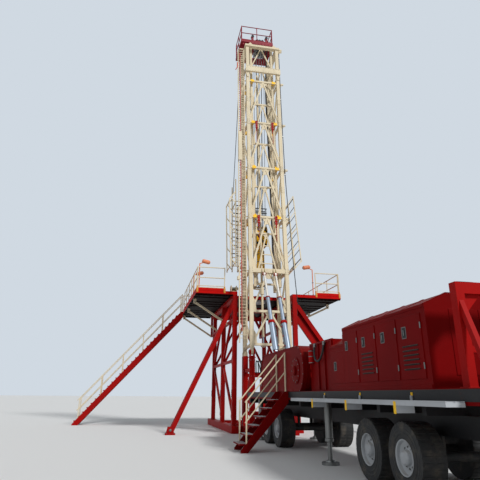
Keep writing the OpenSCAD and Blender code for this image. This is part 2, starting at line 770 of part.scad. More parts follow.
module racking_board_left() {
    r = board_bar / 2;
    ys = [300, 1250];
    x_out = 1760;
    x_mid = 1510;
    x_in = 1230;
    color("wheat") on_mast() mirror([1, 0, 0]) {
        for (y = ys) {
            bar([x_out, y, board_low - 30], [x_out + 50, y, board_high], board_bar, board_bar - 4);
            bar([x_out + 50, y, board_high - 20], [x_mid, y, board_high + 420], board_bar - 2, board_bar - 8);
            block([x_mid - r, y - r, board_low], [x_mid + r, y + r, board_high + 1100]);
            block([x_in - r, y - r, board_low + 200], [x_in + r, y + r, board_high]);
            for (i = [0:4]) let (z = board_low + 100 + i * 800)
                bar([x_mid, y, z], [x_out + 20, y, z + 330], 36, 34);
            for (i = [0:7]) let (z = board_low + 300 + i * 440)
                block([x_in - r, y - 17, z], [x_mid + r, y + 17, z + 34]);
        }
        for (x = [x_mid, x_in], z = [board_low + 230, board_high - 200])
            block([x - 20, ys[0], z], [x + 20, ys[1], z + 40]);
        for (rail = [[x_out, board_low + 20], [x_out + 48, board_high - 80]])
            block([rail.x - 15, ys[0], rail.y], [rail.x + 15, ys[1], rail.y + 36]);
        for (y = [ys[0] + 440, ys[1] - 60]) board_brackets(x_in - r + 1, x_in - r + 1, y);
        block([x_in - r, ys[0], board_low + 15], [x_in + r, ys[1], board_low + 65]);
        block([x_in - r, ys[0], back_hs[2] - r], [x_in + r, ys[1], back_hs[2] + r]);
        for (y = ys) block([x_in - r, y - r, board_low + 15], [x_in + r, y + r, board_low + 201]);
    }
}

module racking_board_right() {
    r = board_bar / 2;
    ys = [300, 1250];
    in_low = 1370;
    in_high = 1200;
    out_low = 1740;
    out_high = 1500;
    rise = board_high - board_low;
    color("wheat") on_mast() {
        for (y = ys) {
            bar([in_low, y, board_low], [in_high, y, board_high], board_bar, board_bar - 4);
            bar([out_low, y, board_low + 420], [out_high, y, board_high + 400], board_bar - 6, board_bar - 8);
            for (i = [0:4]) let (k = i / 4.05, z = board_low + 10 + k * rise)
                bar([in_low + (in_high - in_low) * k, y, z],
                    [out_low + (out_high - out_low) * k, y, z + 440], 36, 34);
        }
        for (k = [0.04, 0.96]) {
            x = in_low + (in_high - in_low) * k;
            block([x - 18, ys[0], board_low + rise * k], [x + 18, ys[1], board_low + rise * k + 36]);
        }
        for (k = [0.04, 0.5, 0.96]) {
            x = out_low + (out_high - out_low) * k;
            block([x - 16, ys[0], board_low + 420 + rise * k],
                [x + 16, ys[1], board_low + 420 + rise * k + 32]);
        }
        for (y = [ys[0] + 440, ys[1] - 60]) board_brackets(in_low - 30, in_low - 140, y);
        block([in_low - 48, ys[0], board_low + 16], [in_low - 8, ys[1], board_low + 64]);
        block([in_low - 168, ys[0], back_hs[2] - 24], [in_low - 100, ys[1], back_hs[2] + 24]);
    }
}

// The scoping cylinder stands beside the middle, clear of the travelling block
scope_x = -250;
scope_y = 365;
scope_d = 110;
scope_rod_d = 76;
scope_foot = 380;
scope_len = mast_top_h - 2600;
module scoping_rod() {
    color("silver") on_mast() translate([scope_x, scope_y, scope_foot]) cylinder(d=scope_rod_d, h=scope_len);
}

// Upper mast section

module upper_back() {
    top = crown_h;
    color("wheat") on_mast() {
        for (s = [-1, 1]) block([s * inner_hw - inner_leg / 2, inner_y - inner_leg / 2, inner_low_h - 120],
            [s * inner_hw + inner_leg / 2, inner_y + inner_leg / 2, top]);
        for (i = [0:len(inner_hs) - 1]) {
            block([-inner_hw, inner_y - 40, inner_hs[i] - 40], [inner_hw, inner_y + 40, inner_hs[i] + 40]);
            k_brace(inner_hw, inner_y, inner_hs[i], i == len(inner_hs) - 1 ? top - 60 : inner_hs[i + 1],
                inner_bar);
        }
        // the yoke that holds the scoping cylinder's barrel
        difference() {
            union() {
                translate([scope_x, scope_y, inner_low_h - 90]) cylinder(d=240, h=180);
                block([scope_x - 80, inner_y, inner_low_h - 70], [scope_x + 80, scope_y, inner_low_h + 70]);
            }
            translate([scope_x, scope_y, inner_low_h - 100]) cylinder(d=scope_d + 1, h=200);
        }
    }
}

module upper_side(s) {
    x = s * inner_hw;
    y1 = inner_y + inner_d;
    difference() {
        union() {
            block([x - inner_leg / 2, y1 - inner_leg / 2, inner_low_h - 120],
                [x + inner_leg / 2, y1 + inner_leg / 2, crown_h]);
            for (i = [0:len(inner_hs) - 1]) {
                high = i == len(inner_hs) - 1 ? crown_h - 60 : inner_hs[i + 1];
                block([x - 40, inner_y, inner_hs[i] - 40], [x + 40, y1, inner_hs[i] + 40]);
                bar([x, i % 2 == 0 ? inner_y : y1, inner_hs[i]], [x, i % 2 == 0 ? y1 : inner_y, high],
                    inner_bar, inner_bar * 0.9);
            }
        }
        block([x - 500, -500, 0], [x + 500, inner_y + inner_leg / 2, crown_h + 1]);
        block([x - 500, -500, crown_h], [x + 500, 3000, crown_h + 500]);
    }
}
module upper_left_side() { color("wheat") on_mast() upper_side(-1); }
module upper_right_side() { color("wheat") on_mast() upper_side(1); }

crown_hw = 680;
crown_t = 160;
crown_near = inner_y - 250;
crown_far = mast_d + 250;
step_out = 530;
module crown_frame() {
    color("darkred") on_mast() {
        difference() {
            block([-crown_hw, crown_near, crown_h], [crown_hw, crown_far, crown_h + crown_t]);
            block([-340, inner_y + 60, crown_h - 10], [340, mast_d - 150, crown_h + crown_t + 10]);
        }
        // the sheaves' axle lies in the frame and crosses its opening
        translate([-400, crown_axle.y, crown_axle.z]) rotate([0, 90, 0]) cylinder(d=axle_d, h=800);
        // the side platform with the two stubs under it
        block([-crown_hw - step_out, crown_near, crown_h + 90],
            [-crown_hw + 1, crown_far, crown_h + crown_t]);
        for (y = [crown_near + 60, crown_far - 140])
            block([-crown_hw - step_out + 110, y, crown_h - 60],
                [-crown_hw - step_out + 190, y + 80, crown_h + 91]);
        // the rope guides on the near edge
        for (x = [-500, 330]) {
            block([x - 55, crown_near + 110, crown_h + crown_t - 1],
                [x + 55, crown_near + 220, crown_h + crown_t + 500]);
            translate([x, crown_near + 90, crown_h + crown_t + 520]) rotate([-90, 0, 0])
                cylinder(d=160, h=170);
        }
    }
}

module crown_rails() {
    y0 = crown_near + 35;
    y1 = crown_far - 35;
    left = -crown_hw - step_out + 35;
    right = crown_hw - 35;
    corner = rail_d + rail_gap;
    color("wheat") on_mast() translate([0, 0, crown_h + crown_t]) {
        handrail([left, y0, 0], [right, y0, 0], 2);
        handrail([left, y1, 0], [right, y1, 0], 2);
        handrail([left, y0 + corner, 0], [left, y1 - corner, 0], 2);
        handrail([right, y0 + corner, 0], [right, y1 - corner, 0], 2);
    }
}

axle_d = 120;
rope_d = 26;
groove = 45;
module sheave(w) {
    r = sheave_d / 2;
    hub = axle_d / 2 + pin_fit;
    rotate_extrude() polygon([[hub, -w / 2], [r, -w / 2], [r - groove, -14], [r - groove, 14], [r, w / 2], [hub, w / 2]]);
}

sheave_xs = [-225, -75, 75, 225];
module crown_sheaves() {
    color("dimgray") on_mast() translate(crown_axle) rotate([0, 90, 0]) {
        for (x = sheave_xs) translate([0, 0, x]) sheave(90);
        difference() {
            translate([0, 0, -330]) cylinder(d=150, h=660);
            translate([0, 0, -331]) cylinder(d=axle_d + 2 * pin_fit, h=662);
        }
    }
}

scope_lift = 340;
module scoping_barrel() {
    run = scope_len + 200;
    color("wheat") on_mast() translate([scope_x, scope_y, scope_foot + scope_lift]) difference() {
        cylinder(d=scope_d, h=run);
        translate([0, 0, -1]) cylinder(d=scope_rod_d + 2 * pin_fit, h=120);
        translate([0, 0, 100]) cylinder(d=scope_rod_d + 12, h=run - 150);
    }
}

// Travelling block and hook, hanging plumb under the crown

block_z = hook_h + 1900;
module travelling_block() {
    color("gold") translate([0, crown_y, block_z]) {
        for (x = [-block_w / 2, block_w / 2 - 40]) translate([x, 0, 0]) rotate([90, 0, 90]) linear_extrude(40)
            polygon([[-300, -560], [300, -560], [400, -150], [400, 250], [250, 480], [-250, 480],
                [-400, 250], [-400, -150]]);
        rotate([0, 90, 0]) cylinder(d=140, h=block_w + 60, center=true);
        for (x = sheave_xs) translate([x * 0.8, 0, 0]) rotate([0, 90, 0]) sheave(70);
        block([-block_w / 2, -280, -560], [block_w / 2, 280, -460]);
        block([-block_w / 2, -120, 440], [block_w / 2, 120, 480]);
    }
}

hook_r = 185;
hook_t = 240;
module hook() {
    // the barrel hangs from the block; the body under it is rounded, with a pin through it
    tip = hook_h - block_z + 560;
    color("gold") translate([0, crown_y, block_z - 560]) {
        translate([0, 0, -160]) cylinder(d=160, h=160);
        translate([0, 0, -250]) cylinder(d1=2 * hook_r, d2=260, h=100);
        translate([0, 0, -880]) cylinder(d=2 * hook_r + 16, h=631);
        translate([0, hook_t / 2, 0]) rotate([90, 0, 0]) linear_extrude(hook_t) union() {
            translate([0, tip + hook_r]) circle(hook_r);
            translate([-hook_r, tip + hook_r]) square([2 * hook_r, -870 - tip - hook_r]);
        }
        translate([0, hook_t / 2 + 25, tip + hook_r + 30]) rotate([90, 0, 0]) cylinder(d=110, h=hook_t + 50);
    }
}

module drilling_lines() {
    r = sheave_d / 2 - groove + rope_d / 2 + pin_fit;
    color("dimgray") for (x = sheave_xs, s = [-1, 1])
        tube([x * 0.8, crown_y + s * r, block_z], [x, crown_y + s * r, crown_z], rope_d);
}

// Raising cylinders

module raise_barrels() {
    color("lightsteelblue") on_ram() difference() {
        union() {
            rotate([0, 90, 0]) cylinder(d=200, h=90, center=true);
            block([-45, -80, 0], [45, 80, 140]);
            translate([0, 0, 125]) cylinder(d=ram_d, h=ram_barrel - 125);
            translate([0, 0, ram_barrel - 90]) cylinder(d=ram_d + 40, h=90);
        }
        rotate([0, 90, 0]) cylinder(d=90 + 2 * pin_fit, h=200, center=true);
        translate([0, 0, stage_low]) cylinder(d=stage_d + 2 * pin_fit, h=ram_barrel);
    }
}

module raise_stages() {
    low = stage_low + 10 + ram_stroke;
    head = ram_barrel + 60 + ram_stroke;
    color("lightsteelblue") on_ram() difference() {
        union() {
            translate([0, 0, low]) cylinder(d=stage_d, h=head - low);
            translate([0, 0, head - 50]) cylinder(d=stage_d + 36, h=50);
        }
        translate([0, 0, low + 30]) cylinder(d=rod_d + 2 * pin_fit, h=head);
    }
}

module raise_rods() {
    low = stage_low + 50 + 2 * ram_stroke;
    color("lightsteelblue") on_ram() difference() {
        union() {
            translate([0, 0, low]) cylinder(d=rod_d, h=ram_run - low - 110);
            // the shank passes between the lugs on the push beam
            translate([-42, -42, ram_run - 112]) cube([84, 84, 112]);
            translate([0, 0, ram_run]) rotate([0, 90, 0]) cylinder(d=130, h=90, center=true);
        }
        translate([0, 0, ram_run]) rotate([0, 90, 0]) cylinder(d=60, h=200, center=true);
    }
}

chassis();
deck();
wheels();
jacks();
side_walkway();
mast_stand();
cylinder_base();
mast_rest();
drawworks_housing();
power_pack();
gearbox_hood();
engine_hood();
deck_stair();
deck_stair_rails();
ground_skids();
tower_left();
tower_right();
tower_ties();
raker_left();
raker_right();
floor_center();
wing_left();
wing_right();
wing_struts();
floor_rails_left();
floor_rails_right();
floor_stair();
floor_stair_rails();
floor_lamps();
tugger_winch();
rotary_table();
mast_back();
mast_left_side();
mast_right_side();
mast_box_beams();
mast_top_frame();
mast_ladder();
mast_latches();
mast_guides();
racking_board_left();
racking_board_right();
scoping_rod();
upper_back();
upper_left_side();
upper_right_side();
crown_frame();
crown_rails();
crown_sheaves();
scoping_barrel();
travelling_block();
hook();
drilling_lines();
raise_barrels();
raise_stages();
raise_rods();
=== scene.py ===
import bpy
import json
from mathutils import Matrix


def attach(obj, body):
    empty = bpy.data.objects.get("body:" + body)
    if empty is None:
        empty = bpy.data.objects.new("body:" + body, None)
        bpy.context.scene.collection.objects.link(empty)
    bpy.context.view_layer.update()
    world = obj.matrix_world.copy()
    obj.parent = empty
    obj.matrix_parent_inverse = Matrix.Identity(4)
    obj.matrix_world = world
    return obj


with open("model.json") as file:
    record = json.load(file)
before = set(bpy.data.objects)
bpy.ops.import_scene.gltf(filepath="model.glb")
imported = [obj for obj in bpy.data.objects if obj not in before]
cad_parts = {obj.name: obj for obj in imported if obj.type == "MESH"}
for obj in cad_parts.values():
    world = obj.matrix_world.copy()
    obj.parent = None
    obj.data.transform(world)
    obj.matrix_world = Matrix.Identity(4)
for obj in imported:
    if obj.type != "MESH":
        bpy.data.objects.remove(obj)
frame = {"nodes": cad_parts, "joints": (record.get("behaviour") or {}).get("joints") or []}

"""Looks of a mobile oil drilling rig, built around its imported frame. Every length is in metres."""

import json
import logging
import math
from dataclasses import dataclass
from enum import Enum
from typing import Any, Optional, Sequence, Union

import bpy
import numpy as np
from mathutils import Matrix

LOG = logging.getLogger("drilling_rig")
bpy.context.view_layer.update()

Colour = tuple[float, float, float]
Point = tuple[float, float, float]
Outline = tuple[tuple[float, float], ...]


class Body(Enum):
    """The bodies that pieces ride on, by their packed names."""

    ROOT = "root"
    LOWER_MAST = "mast"
    UPPER_MAST = "upper_mast"
    BLOCK = "block"
    BARRELS = "barrels"
    STAGES = "stages"
    RODS = "rods"


def srgb(red: int, green: int, blue: int) -> Colour:
    """Turns a colour given in screen values into the linear values that shaders use.

    Args:
        red: Red from 0 to 255.
        green: Green from 0 to 255.
        blue: Blue from 0 to 255.

    Returns:
        The three linear values, from 0 to 1.
    """
    values = np.array([red, green, blue]) / 255.0
    linear = np.where(values <= 0.04045, values / 12.92, ((values + 0.055) / 1.055) ** 2.4)
    return tuple(float(v) for v in linear)


DUST = srgb(176, 160, 138)
ROAD_DUST = srgb(120, 108, 92)
RUST = srgb(96, 52, 30)
STRIPE = srgb(24, 22, 20)


class Sock:
    """A shader socket on which Python arithmetic adds Math nodes."""

    def __init__(self, graph: "Nodes", socket: bpy.types.NodeSocket) -> None:
        """Wraps one output socket of a graph."""
        self.graph = graph
        self.socket = socket

    def _math(self, operation: str, *values: Any) -> "Sock":
        """Adds one Math node of that operation on the given values."""
        return self.graph.node("ShaderNodeMath", {"operation": operation}, dict(enumerate(values)))

    def __add__(self, other: Any) -> "Sock":
        """Sum."""
        return self._math("ADD", self, other)

    def __radd__(self, other: Any) -> "Sock":
        """Sum, reflected."""
        return self._math("ADD", other, self)

    def __sub__(self, other: Any) -> "Sock":
        """Difference."""
        return self._math("SUBTRACT", self, other)

    def __rsub__(self, other: Any) -> "Sock":
        """Difference, reflected."""
        return self._math("SUBTRACT", other, self)

    def __mul__(self, other: Any) -> "Sock":
        """Product."""
        return self._math("MULTIPLY", self, other)

    def __rmul__(self, other: Any) -> "Sock":
        """Product, reflected."""
        return self._math("MULTIPLY", other, self)

    def fract(self) -> "Sock":
        """The value less its whole part."""
        return self._math("FRACT", self)

    def clamp(self) -> "Sock":
        """The value held between 0 and 1."""
        return self.graph.node("ShaderNodeClamp", {}, {"Value": self})

    def ramp(self, low: float, high: float) -> "Sock":
        """A smooth step from 0 at low to 1 at high.

        Args:
            low: The value at which the step starts.
            high: The value at which it ends.

        Returns:
            The stepped value.
        """
        return self.graph.node(
            "ShaderNodeMapRange",
            {"interpolation_type": "SMOOTHSTEP"},
            {"Value": self, "From Min": low, "From Max": high, "To Min": 0.0, "To Max": 1.0},
        )


class Nodes:
    """A node tree and the one way in which nodes are added to it."""

    def __init__(self, tree: bpy.types.NodeTree) -> None:
        """Empties the tree."""
        self.tree = tree
        self.tree.nodes.clear()

    def node(self, kind: str, settings: dict[str, Any], inputs: dict[Union[int, str], Any],
             out: Union[int, str] = 0) -> Sock:
        """Adds one node.

        Args:
            kind: The node's type.
            settings: Its properties, set before its sockets.
            inputs: Values or sockets, by the input's name or number.
            out: The output to return, by its name or number.

        Returns:
            That output.
        """
        made = self.tree.nodes.new(kind)
        for key, value in settings.items():
            setattr(made, key, value)
        for key, value in inputs.items():
            self.feed(made.inputs[key], value)
        return Sock(self, made.outputs[out])

    def feed(self, target: bpy.types.NodeSocket, value: Any) -> None:
        """Links a socket to an input, or writes a plain value on it.

        Args:
            target: The input.
            value: A socket, a number or a colour's three values.
        """
        if isinstance(value, Sock):
            self.tree.links.new(value.socket, target)
            return
        if isinstance(value, tuple) and len(value) == 3 and target.type == "RGBA":
            value = (*value, 1.0)
        target.default_value = value


class Graph(Nodes):
    """The node tree of one material, with a Principled shader at its end."""

    def __init__(self, name: str) -> None:
        """Makes an empty material with its shader and object coordinates.

        Args:
            name: The material's name.
        """
        self.material = bpy.data.materials.new(name)
        self.material.use_nodes = True
        super().__init__(self.material.node_tree)
        self.shader = self.tree.nodes.new("ShaderNodeBsdfPrincipled")
        output = self.tree.nodes.new("ShaderNodeOutputMaterial")
        self.tree.links.new(self.shader.outputs[0], output.inputs["Surface"])
        coordinates = self.tree.nodes.new("ShaderNodeTexCoord")
        self.place = Sock(self, coordinates.outputs["Object"])
        self.facing = Sock(self, coordinates.outputs["Normal"])

    def mix(self, factor: Any, first: Any, second: Any) -> Sock:
        """Blends two colours."""
        return self.node("ShaderNodeMix", {"data_type": "RGBA"}, {0: factor, 6: first, 7: second}, 2)

    def noise(self, scale: float, detail: float = 4.0, stretch: Point = (1.0, 1.0, 1.0),
              rough: float = 0.55) -> Sock:
        """A noise value over the object, about 0.5 on average.

        Args:
            scale: Features a metre.
            detail: Octaves.
            stretch: Factors on the three coordinates, under 1 to draw features out.
            rough: How strong the fine octaves are.

        Returns:
            The noise.
        """
        moved = self.node("ShaderNodeVectorMath", {"operation": "MULTIPLY"}, {0: self.place, 1: stretch})
        values = {"Vector": moved, "Scale": scale, "Detail": detail, "Roughness": rough}
        return self.node("ShaderNodeTexNoise", {}, values)

    def axis(self, source: Sock, index: int) -> Sock:
        """One coordinate of a vector."""
        return self.node("ShaderNodeSeparateXYZ", {}, {0: source}, index)

    def finish(self, colour: Any, rough: Any, metal: float = 0.0, bump: Optional[Sock] = None,
               depth: float = 0.002, strength: float = 0.4, shine: float = 0.5) -> bpy.types.Material:
        """Feeds the shader.

        Args:
            colour: Base colour.
            rough: Roughness.
            metal: Metallic value.
            bump: Height for the bump, or None.
            depth: The bump's height in metres.
            strength: The bump's strength.
            shine: How strongly a plain surface mirrors, the same all over it.

        Returns:
            The finished material.
        """
        self.feed(self.shader.inputs["Base Color"], colour)
        self.feed(self.shader.inputs["Roughness"], rough)
        self.shader.inputs["Metallic"].default_value = metal
        self.shader.inputs["Specular IOR Level"].default_value = shine
        if bump is not None:
            values = {"Strength": strength, "Distance": depth, "Height": bump}
            self.feed(self.shader.inputs["Normal"], self.node("ShaderNodeBump", {}, values))
        return self.material


@dataclass(frozen=True)
class Paint:
    """Weathered paint on steel.

    Attributes:
        name: The material's name.
        colour: The fresh paint.
        fade: The colour that broad patches have faded to.
        rough: Roughness of clean paint.
        dust: How much dust lies on what faces up.
        rust: How strongly the rust spots show.
        streak: How dark the streaks are that run down it.
        under: The colour painted on what faces down as painted shade, or None for the same paint.
        stripe: The distance between diagonal dark stripes, or 0 for none.
        shine: How strongly it mirrors.
    """

    name: str
    colour: Colour
    fade: Colour
    rough: float = 0.42
    dust: float = 0.25
    rust: float = 0.3
    streak: float = 0.35
    under: Optional[Colour] = None
    stripe: float = 0.0
    shine: float = 0.2

    def material(self) -> bpy.types.Material:
        """Makes the paint with its fading, dust, streaks and rust, and painted shade on what faces down where
        under is set.

        Returns:
            The finished material.
        """
        g = Graph(self.name)
        broad = g.noise(0.55, 3.0)
        streaks = g.noise(5.0, 4.0, (1.0, 1.0, 0.12))
        fine = g.noise(22.0, 5.0)
        up = g.axis(g.facing, 2)
        base = g.mix(broad.ramp(0.35, 0.7) * 0.55, self.colour, self.fade)
        dark = tuple(c * 0.62 for c in self.colour)
        base = g.mix(streaks.ramp(0.52, 0.74) * self.streak, base, dark)
        dusty = (up.ramp(0.3, 0.95) * (0.4 + fine * 0.6) + fine.ramp(0.55, 0.8) * 0.12) * self.dust
        base = g.mix(dusty.clamp(), base, DUST)
        rusty = (g.noise(2.3, 6.0).ramp(0.62, 0.72) * fine.ramp(0.45, 0.6)) * self.rust
        base = g.mix(rusty.clamp(), base, RUST)
        if self.stripe:
            x, y, z = (g.axis(g.place, index) for index in range(3))
            slant = (z + y * 0.9 + x * 0.9) * (1.0 / self.stripe)
            base = g.mix(slant.fract().ramp(0.56, 0.6), base, STRIPE)
        # Painted shade: what faces down is blended to the under colour.
        if self.under is not None:
            base = g.mix((0.0 - up).ramp(0.3, 0.7), base, self.under)
        rough = (self.rough + fine * 0.14 + dusty * 0.25 + rusty * 0.3).clamp()
        height = g.noise(3.0, 2.0) * 0.7 + g.noise(90.0, 2.0) * 0.12 + rusty * 0.25
        return g.finish(base, rough, bump=height, depth=0.006, strength=0.35, shine=self.shine)


@dataclass(frozen=True)
class Chrome:
    """Hard chrome or bright steel with a film of oil.

    Attributes:
        name: The material's name.
        colour: The metal's colour.
        rough: Roughness where it is clean.
        metal: Metallic value.
    """

    name: str
    colour: Colour
    rough: float = 0.2
    metal: float = 1.0

    def material(self) -> bpy.types.Material:
        """Makes the metal with fine scratches along the rods and dull bands.

        Returns:
            The finished material.
        """
        g = Graph(self.name)
        bands = g.noise(9.0, 3.0, (1.0, 1.0, 0.2))
        scratches = g.noise(160.0, 2.0, (1.0, 1.0, 0.05))
        base = g.mix(bands.ramp(0.4, 0.75) * 0.35, self.colour, tuple(c * 0.6 for c in self.colour))
        rough = (self.rough + bands * 0.15 + scratches * 0.08).clamp()
        return g.finish(base, rough, metal=self.metal, bump=scratches, depth=0.0006, strength=0.2)


@dataclass(frozen=True)
class Rubber:
    """Tyre or hose rubber, dusty.

    Attributes:
        name: The material's name.
        colour: The clean rubber.
        dust: How strongly the patches of dust show.
    """

    name: str
    colour: Colour
    dust: float = 0.35

    def material(self) -> bpy.types.Material:
        """Makes the rubber with its dust.

        Returns:
            The finished material.
        """
        g = Graph(self.name)
        patches = g.noise(4.0, 5.0)
        fine = g.noise(45.0, 3.0)
        base = g.mix((patches.ramp(0.45, 0.8) * self.dust).clamp(), self.colour, ROAD_DUST)
        return g.finish(base, (0.62 + fine * 0.25).clamp(), bump=fine, depth=0.001, strength=0.35)


CREAM = Paint("cream_paint", srgb(220, 206, 176), srgb(199, 184, 155),
              dust=0.1, rust=0.4, streak=0.35, shine=0.1)
RED = Paint("red_paint", srgb(160, 14, 12), srgb(128, 16, 14), dust=0.08, rust=0.15, streak=0.5, shine=0.06)
# The floor's red paint; its under colour is painted shade, near-black on what faces down.
FLOOR_RED = Paint("floor_red_paint", srgb(190, 18, 14), srgb(160, 18, 15), dust=0.15, rust=0.2, streak=0.35,
                  under=srgb(20, 8, 8), shine=0.02)
# A darker red paint for the carrier, made darker still as painted shade on its shaded hood sides.
DARK_RED_AND_SHADE = Paint("dark_red_paint", srgb(116, 6, 7), srgb(88, 6, 7),
                 dust=0.03, rust=0.08, streak=0.5, shine=0.03)
CROWN_RED = Paint("crown_red_paint", srgb(140, 16, 36), srgb(112, 16, 32), dust=0.05, rust=0.08, streak=0.4)
YELLOW = Paint("yellow_paint", srgb(252, 200, 26), srgb(240, 180, 24), dust=0.05, rust=0.2, streak=0.3)
SOCKET = Paint("socket_paint", srgb(206, 142, 62), srgb(188, 128, 62), dust=0.1, rust=0.3)
STRIPED = Paint("striped_paint", srgb(250, 196, 26), srgb(232, 176, 28),
                dust=0.1, rust=0.3, streak=0.4, stripe=0.32)
# Near-black painted shade for what lies under the floor.
UNDERSIDE_SHADE = Paint("underside_painted_shade", srgb(26, 10, 10), srgb(20, 9, 9), dust=0.0, rust=0.08, shine=0.0)
BLACK = Paint("black_paint", srgb(26, 26, 28), srgb(40, 38, 38), dust=0.35, rust=0.25, streak=0.2)
GREY = Paint("grey_paint", srgb(176, 180, 184), srgb(150, 152, 154), dust=0.3, rust=0.25)
SAFETY_RED = Paint("safety_red_paint", srgb(186, 92, 80), srgb(196, 128, 112), dust=0.1, rust=0.1, streak=0.3)
ORANGE = Paint("orange_paint", srgb(224, 138, 100), srgb(208, 126, 96), dust=0.1, rust=0.05)
STEEL = Chrome("oiled_steel", srgb(120, 120, 118), 0.38)
CHROME = Chrome("ram_chrome", srgb(147, 157, 169), 0.28)
ROD = Chrome("pale_rod", srgb(206, 202, 194), 0.4, 0.6)
TYRE = Rubber("tyre_rubber", srgb(30, 30, 30))
HOSE = Rubber("hose_rubber", srgb(24, 24, 26), 0.15)

Finish = Union[Paint, Chrome, Rubber]


class Paintbox:
    """Makes each finish once and hands it out."""

    def __init__(self) -> None:
        """Starts with no material made."""
        self.made: dict[str, bpy.types.Material] = {}

    def get(self, finish: Finish) -> bpy.types.Material:
        """The material of a finish.

        Args:
            finish: The finish.

        Returns:
            Its material, made when it is first asked for.
        """
        if finish.name not in self.made:
            self.made[finish.name] = finish.material()
        return self.made[finish.name]


BOX = Paintbox()

NODE_FINISHES: dict[Finish, tuple[str, ...]] = {
    BLACK: ("chassis",),
    # The carrier's deck, housing and hoods take the darker red, which is partly painted shade.
    DARK_RED_AND_SHADE: ("deck", "drawworks_housing", "gearbox_hood", "engine_hood", "deck_stair"),
    CROWN_RED: ("crown_frame", "crown_rails"),
    TYRE: ("wheels",),
    STEEL: ("jacks", "drilling_lines"),
    GREY: ("side_walkway", "rotary_table", "crown_sheaves"),
    RED: ("mast_latches", "mast_stand", "cylinder_base", "mast_rest", "power_pack", "ground_skids",
          "tower_left", "tower_right", "tower_ties", "raker_left", "raker_right", "floor_stair"),
    FLOOR_RED: ("floor_center", "wing_left", "wing_right"),
    CREAM: ("deck_stair_rails", "wing_struts", "floor_rails_left", "floor_rails_right", "floor_stair_rails",
            "tugger_winch", "mast_back", "mast_left_side", "mast_right_side", "mast_box_beams",
            "mast_top_frame", "mast_ladder", "racking_board_left", "racking_board_right", "upper_back",
            "upper_left_side", "upper_right_side", "scoping_barrel"),
    ORANGE: ("floor_lamps",),
    YELLOW: ("mast_guides", "hook"),
    STRIPED: ("travelling_block",),
    CHROME: ("scoping_rod", "raise_barrels", "raise_stages"),
    ROD: ("raise_rods",),
}


def dress_nodes() -> None:
    """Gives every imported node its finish."""
    for finish, names in NODE_FINISHES.items():
        for name in names:
            for slot in frame["nodes"][name].material_slots:
                slot.material = BOX.get(finish)
            LOG.info("dressed %s in %s", name, finish.name)


IDENTITY = Matrix.Identity(4)
X_AXIS = (1.0, 0.0, 0.0)
Y_AXIS = (0.0, 1.0, 0.0)
Z_AXIS = (0.0, 0.0, 1.0)
TO_CARRIER = (0.0, -1.0, 0.0)
SIDES = (-1, 1)


def unit(vectors: np.ndarray) -> np.ndarray:
    """Each vector divided by its length."""
    return vectors / np.linalg.norm(vectors, axis=-1, keepdims=True)


def turns(count: int, start: float = 0.0) -> np.ndarray:
    """Even angles round the full turn, from the start."""
    return np.linspace(start, 2 * math.pi + start, count, endpoint=False)


def circle(radius: float, sides: int = 12) -> np.ndarray:
    """The points (r cos a, r sin a) for even angles a round the full turn."""
    angle = turns(sides)
    return radius * np.stack([np.cos(angle), np.sin(angle)], axis=1)


def around(centre: Point, radius: float, angles: Sequence[float], about_x: bool = False) -> np.ndarray:
    """Places on a circle about Z, or about X.

    Each is the centre plus (r cos a, r sin a) on the plane across the axis.

    Args:
        centre: The circle's middle.
        radius: Its radius.
        angles: An angle for each place.
        about_x: Whether the axis is X, so that the places lie along Y and Z.

    Returns:
        The places, one a row.
    """
    turn = np.asarray(angles, float)
    still = np.zeros(len(turn))
    across = (radius * np.cos(turn), radius * np.sin(turn))
    offsets = (still, *across) if about_x else (*across, still)
    return np.asarray(centre, float) + np.stack(offsets, axis=1)


def flipped(outline: Outline, across: int = 1, up: int = 1, size: float = 1.0) -> Outline:
    """An outline scaled, and turned over across or upwards by a sign of -1; it still turns anticlockwise."""
    return tuple((across * a * size, up * b * size) for a, b in outline)[::across * up]


def rectangle(width: float, height: float, bevel: float = 0.003) -> np.ndarray:
    """A rectangle about the middle with each corner cut by the bevel.

    Args:
        width: Its size along x.
        height: Its size along y.
        bevel: What each corner loses, held under half a side.

    Returns:
        The eight points, anticlockwise.
    """
    x = width / 2
    y = height / 2
    b = min(bevel, x * 0.45, y * 0.45)
    return np.array([(x - b, -y), (x, b - y), (x, y - b), (x - b, y),
                     (b - x, y), (-x, y - b), (-x, b - y), (b - x, -y)])


def smooth(points: Sequence[Point], steps: int = 8) -> np.ndarray:
    """A Catmull-Rom curve: each span blends four neighbouring points by cubic weights.

    Args:
        points: The points that the curve passes through.
        steps: How many points each span has.

    Returns:
        The curve's points.
    """
    given = np.asarray(points, float)
    padded = np.vstack([2 * given[0] - given[1], given, 2 * given[-1] - given[-2]])
    t = np.linspace(0.0, 1.0, steps, endpoint=False)[:, None]
    before, here = -t + 2 * t**2 - t**3, 2 - 5 * t**2 + 3 * t**3
    after, beyond = t + 4 * t**2 - 3 * t**3, t**3 - t**2
    weights = 0.5 * np.stack([before, here, after, beyond])
    spans = [sum(weights[k] * padded[i + k] for k in range(4)) for i in range(len(given) - 1)]
    return np.vstack([*spans, given[-1:]])


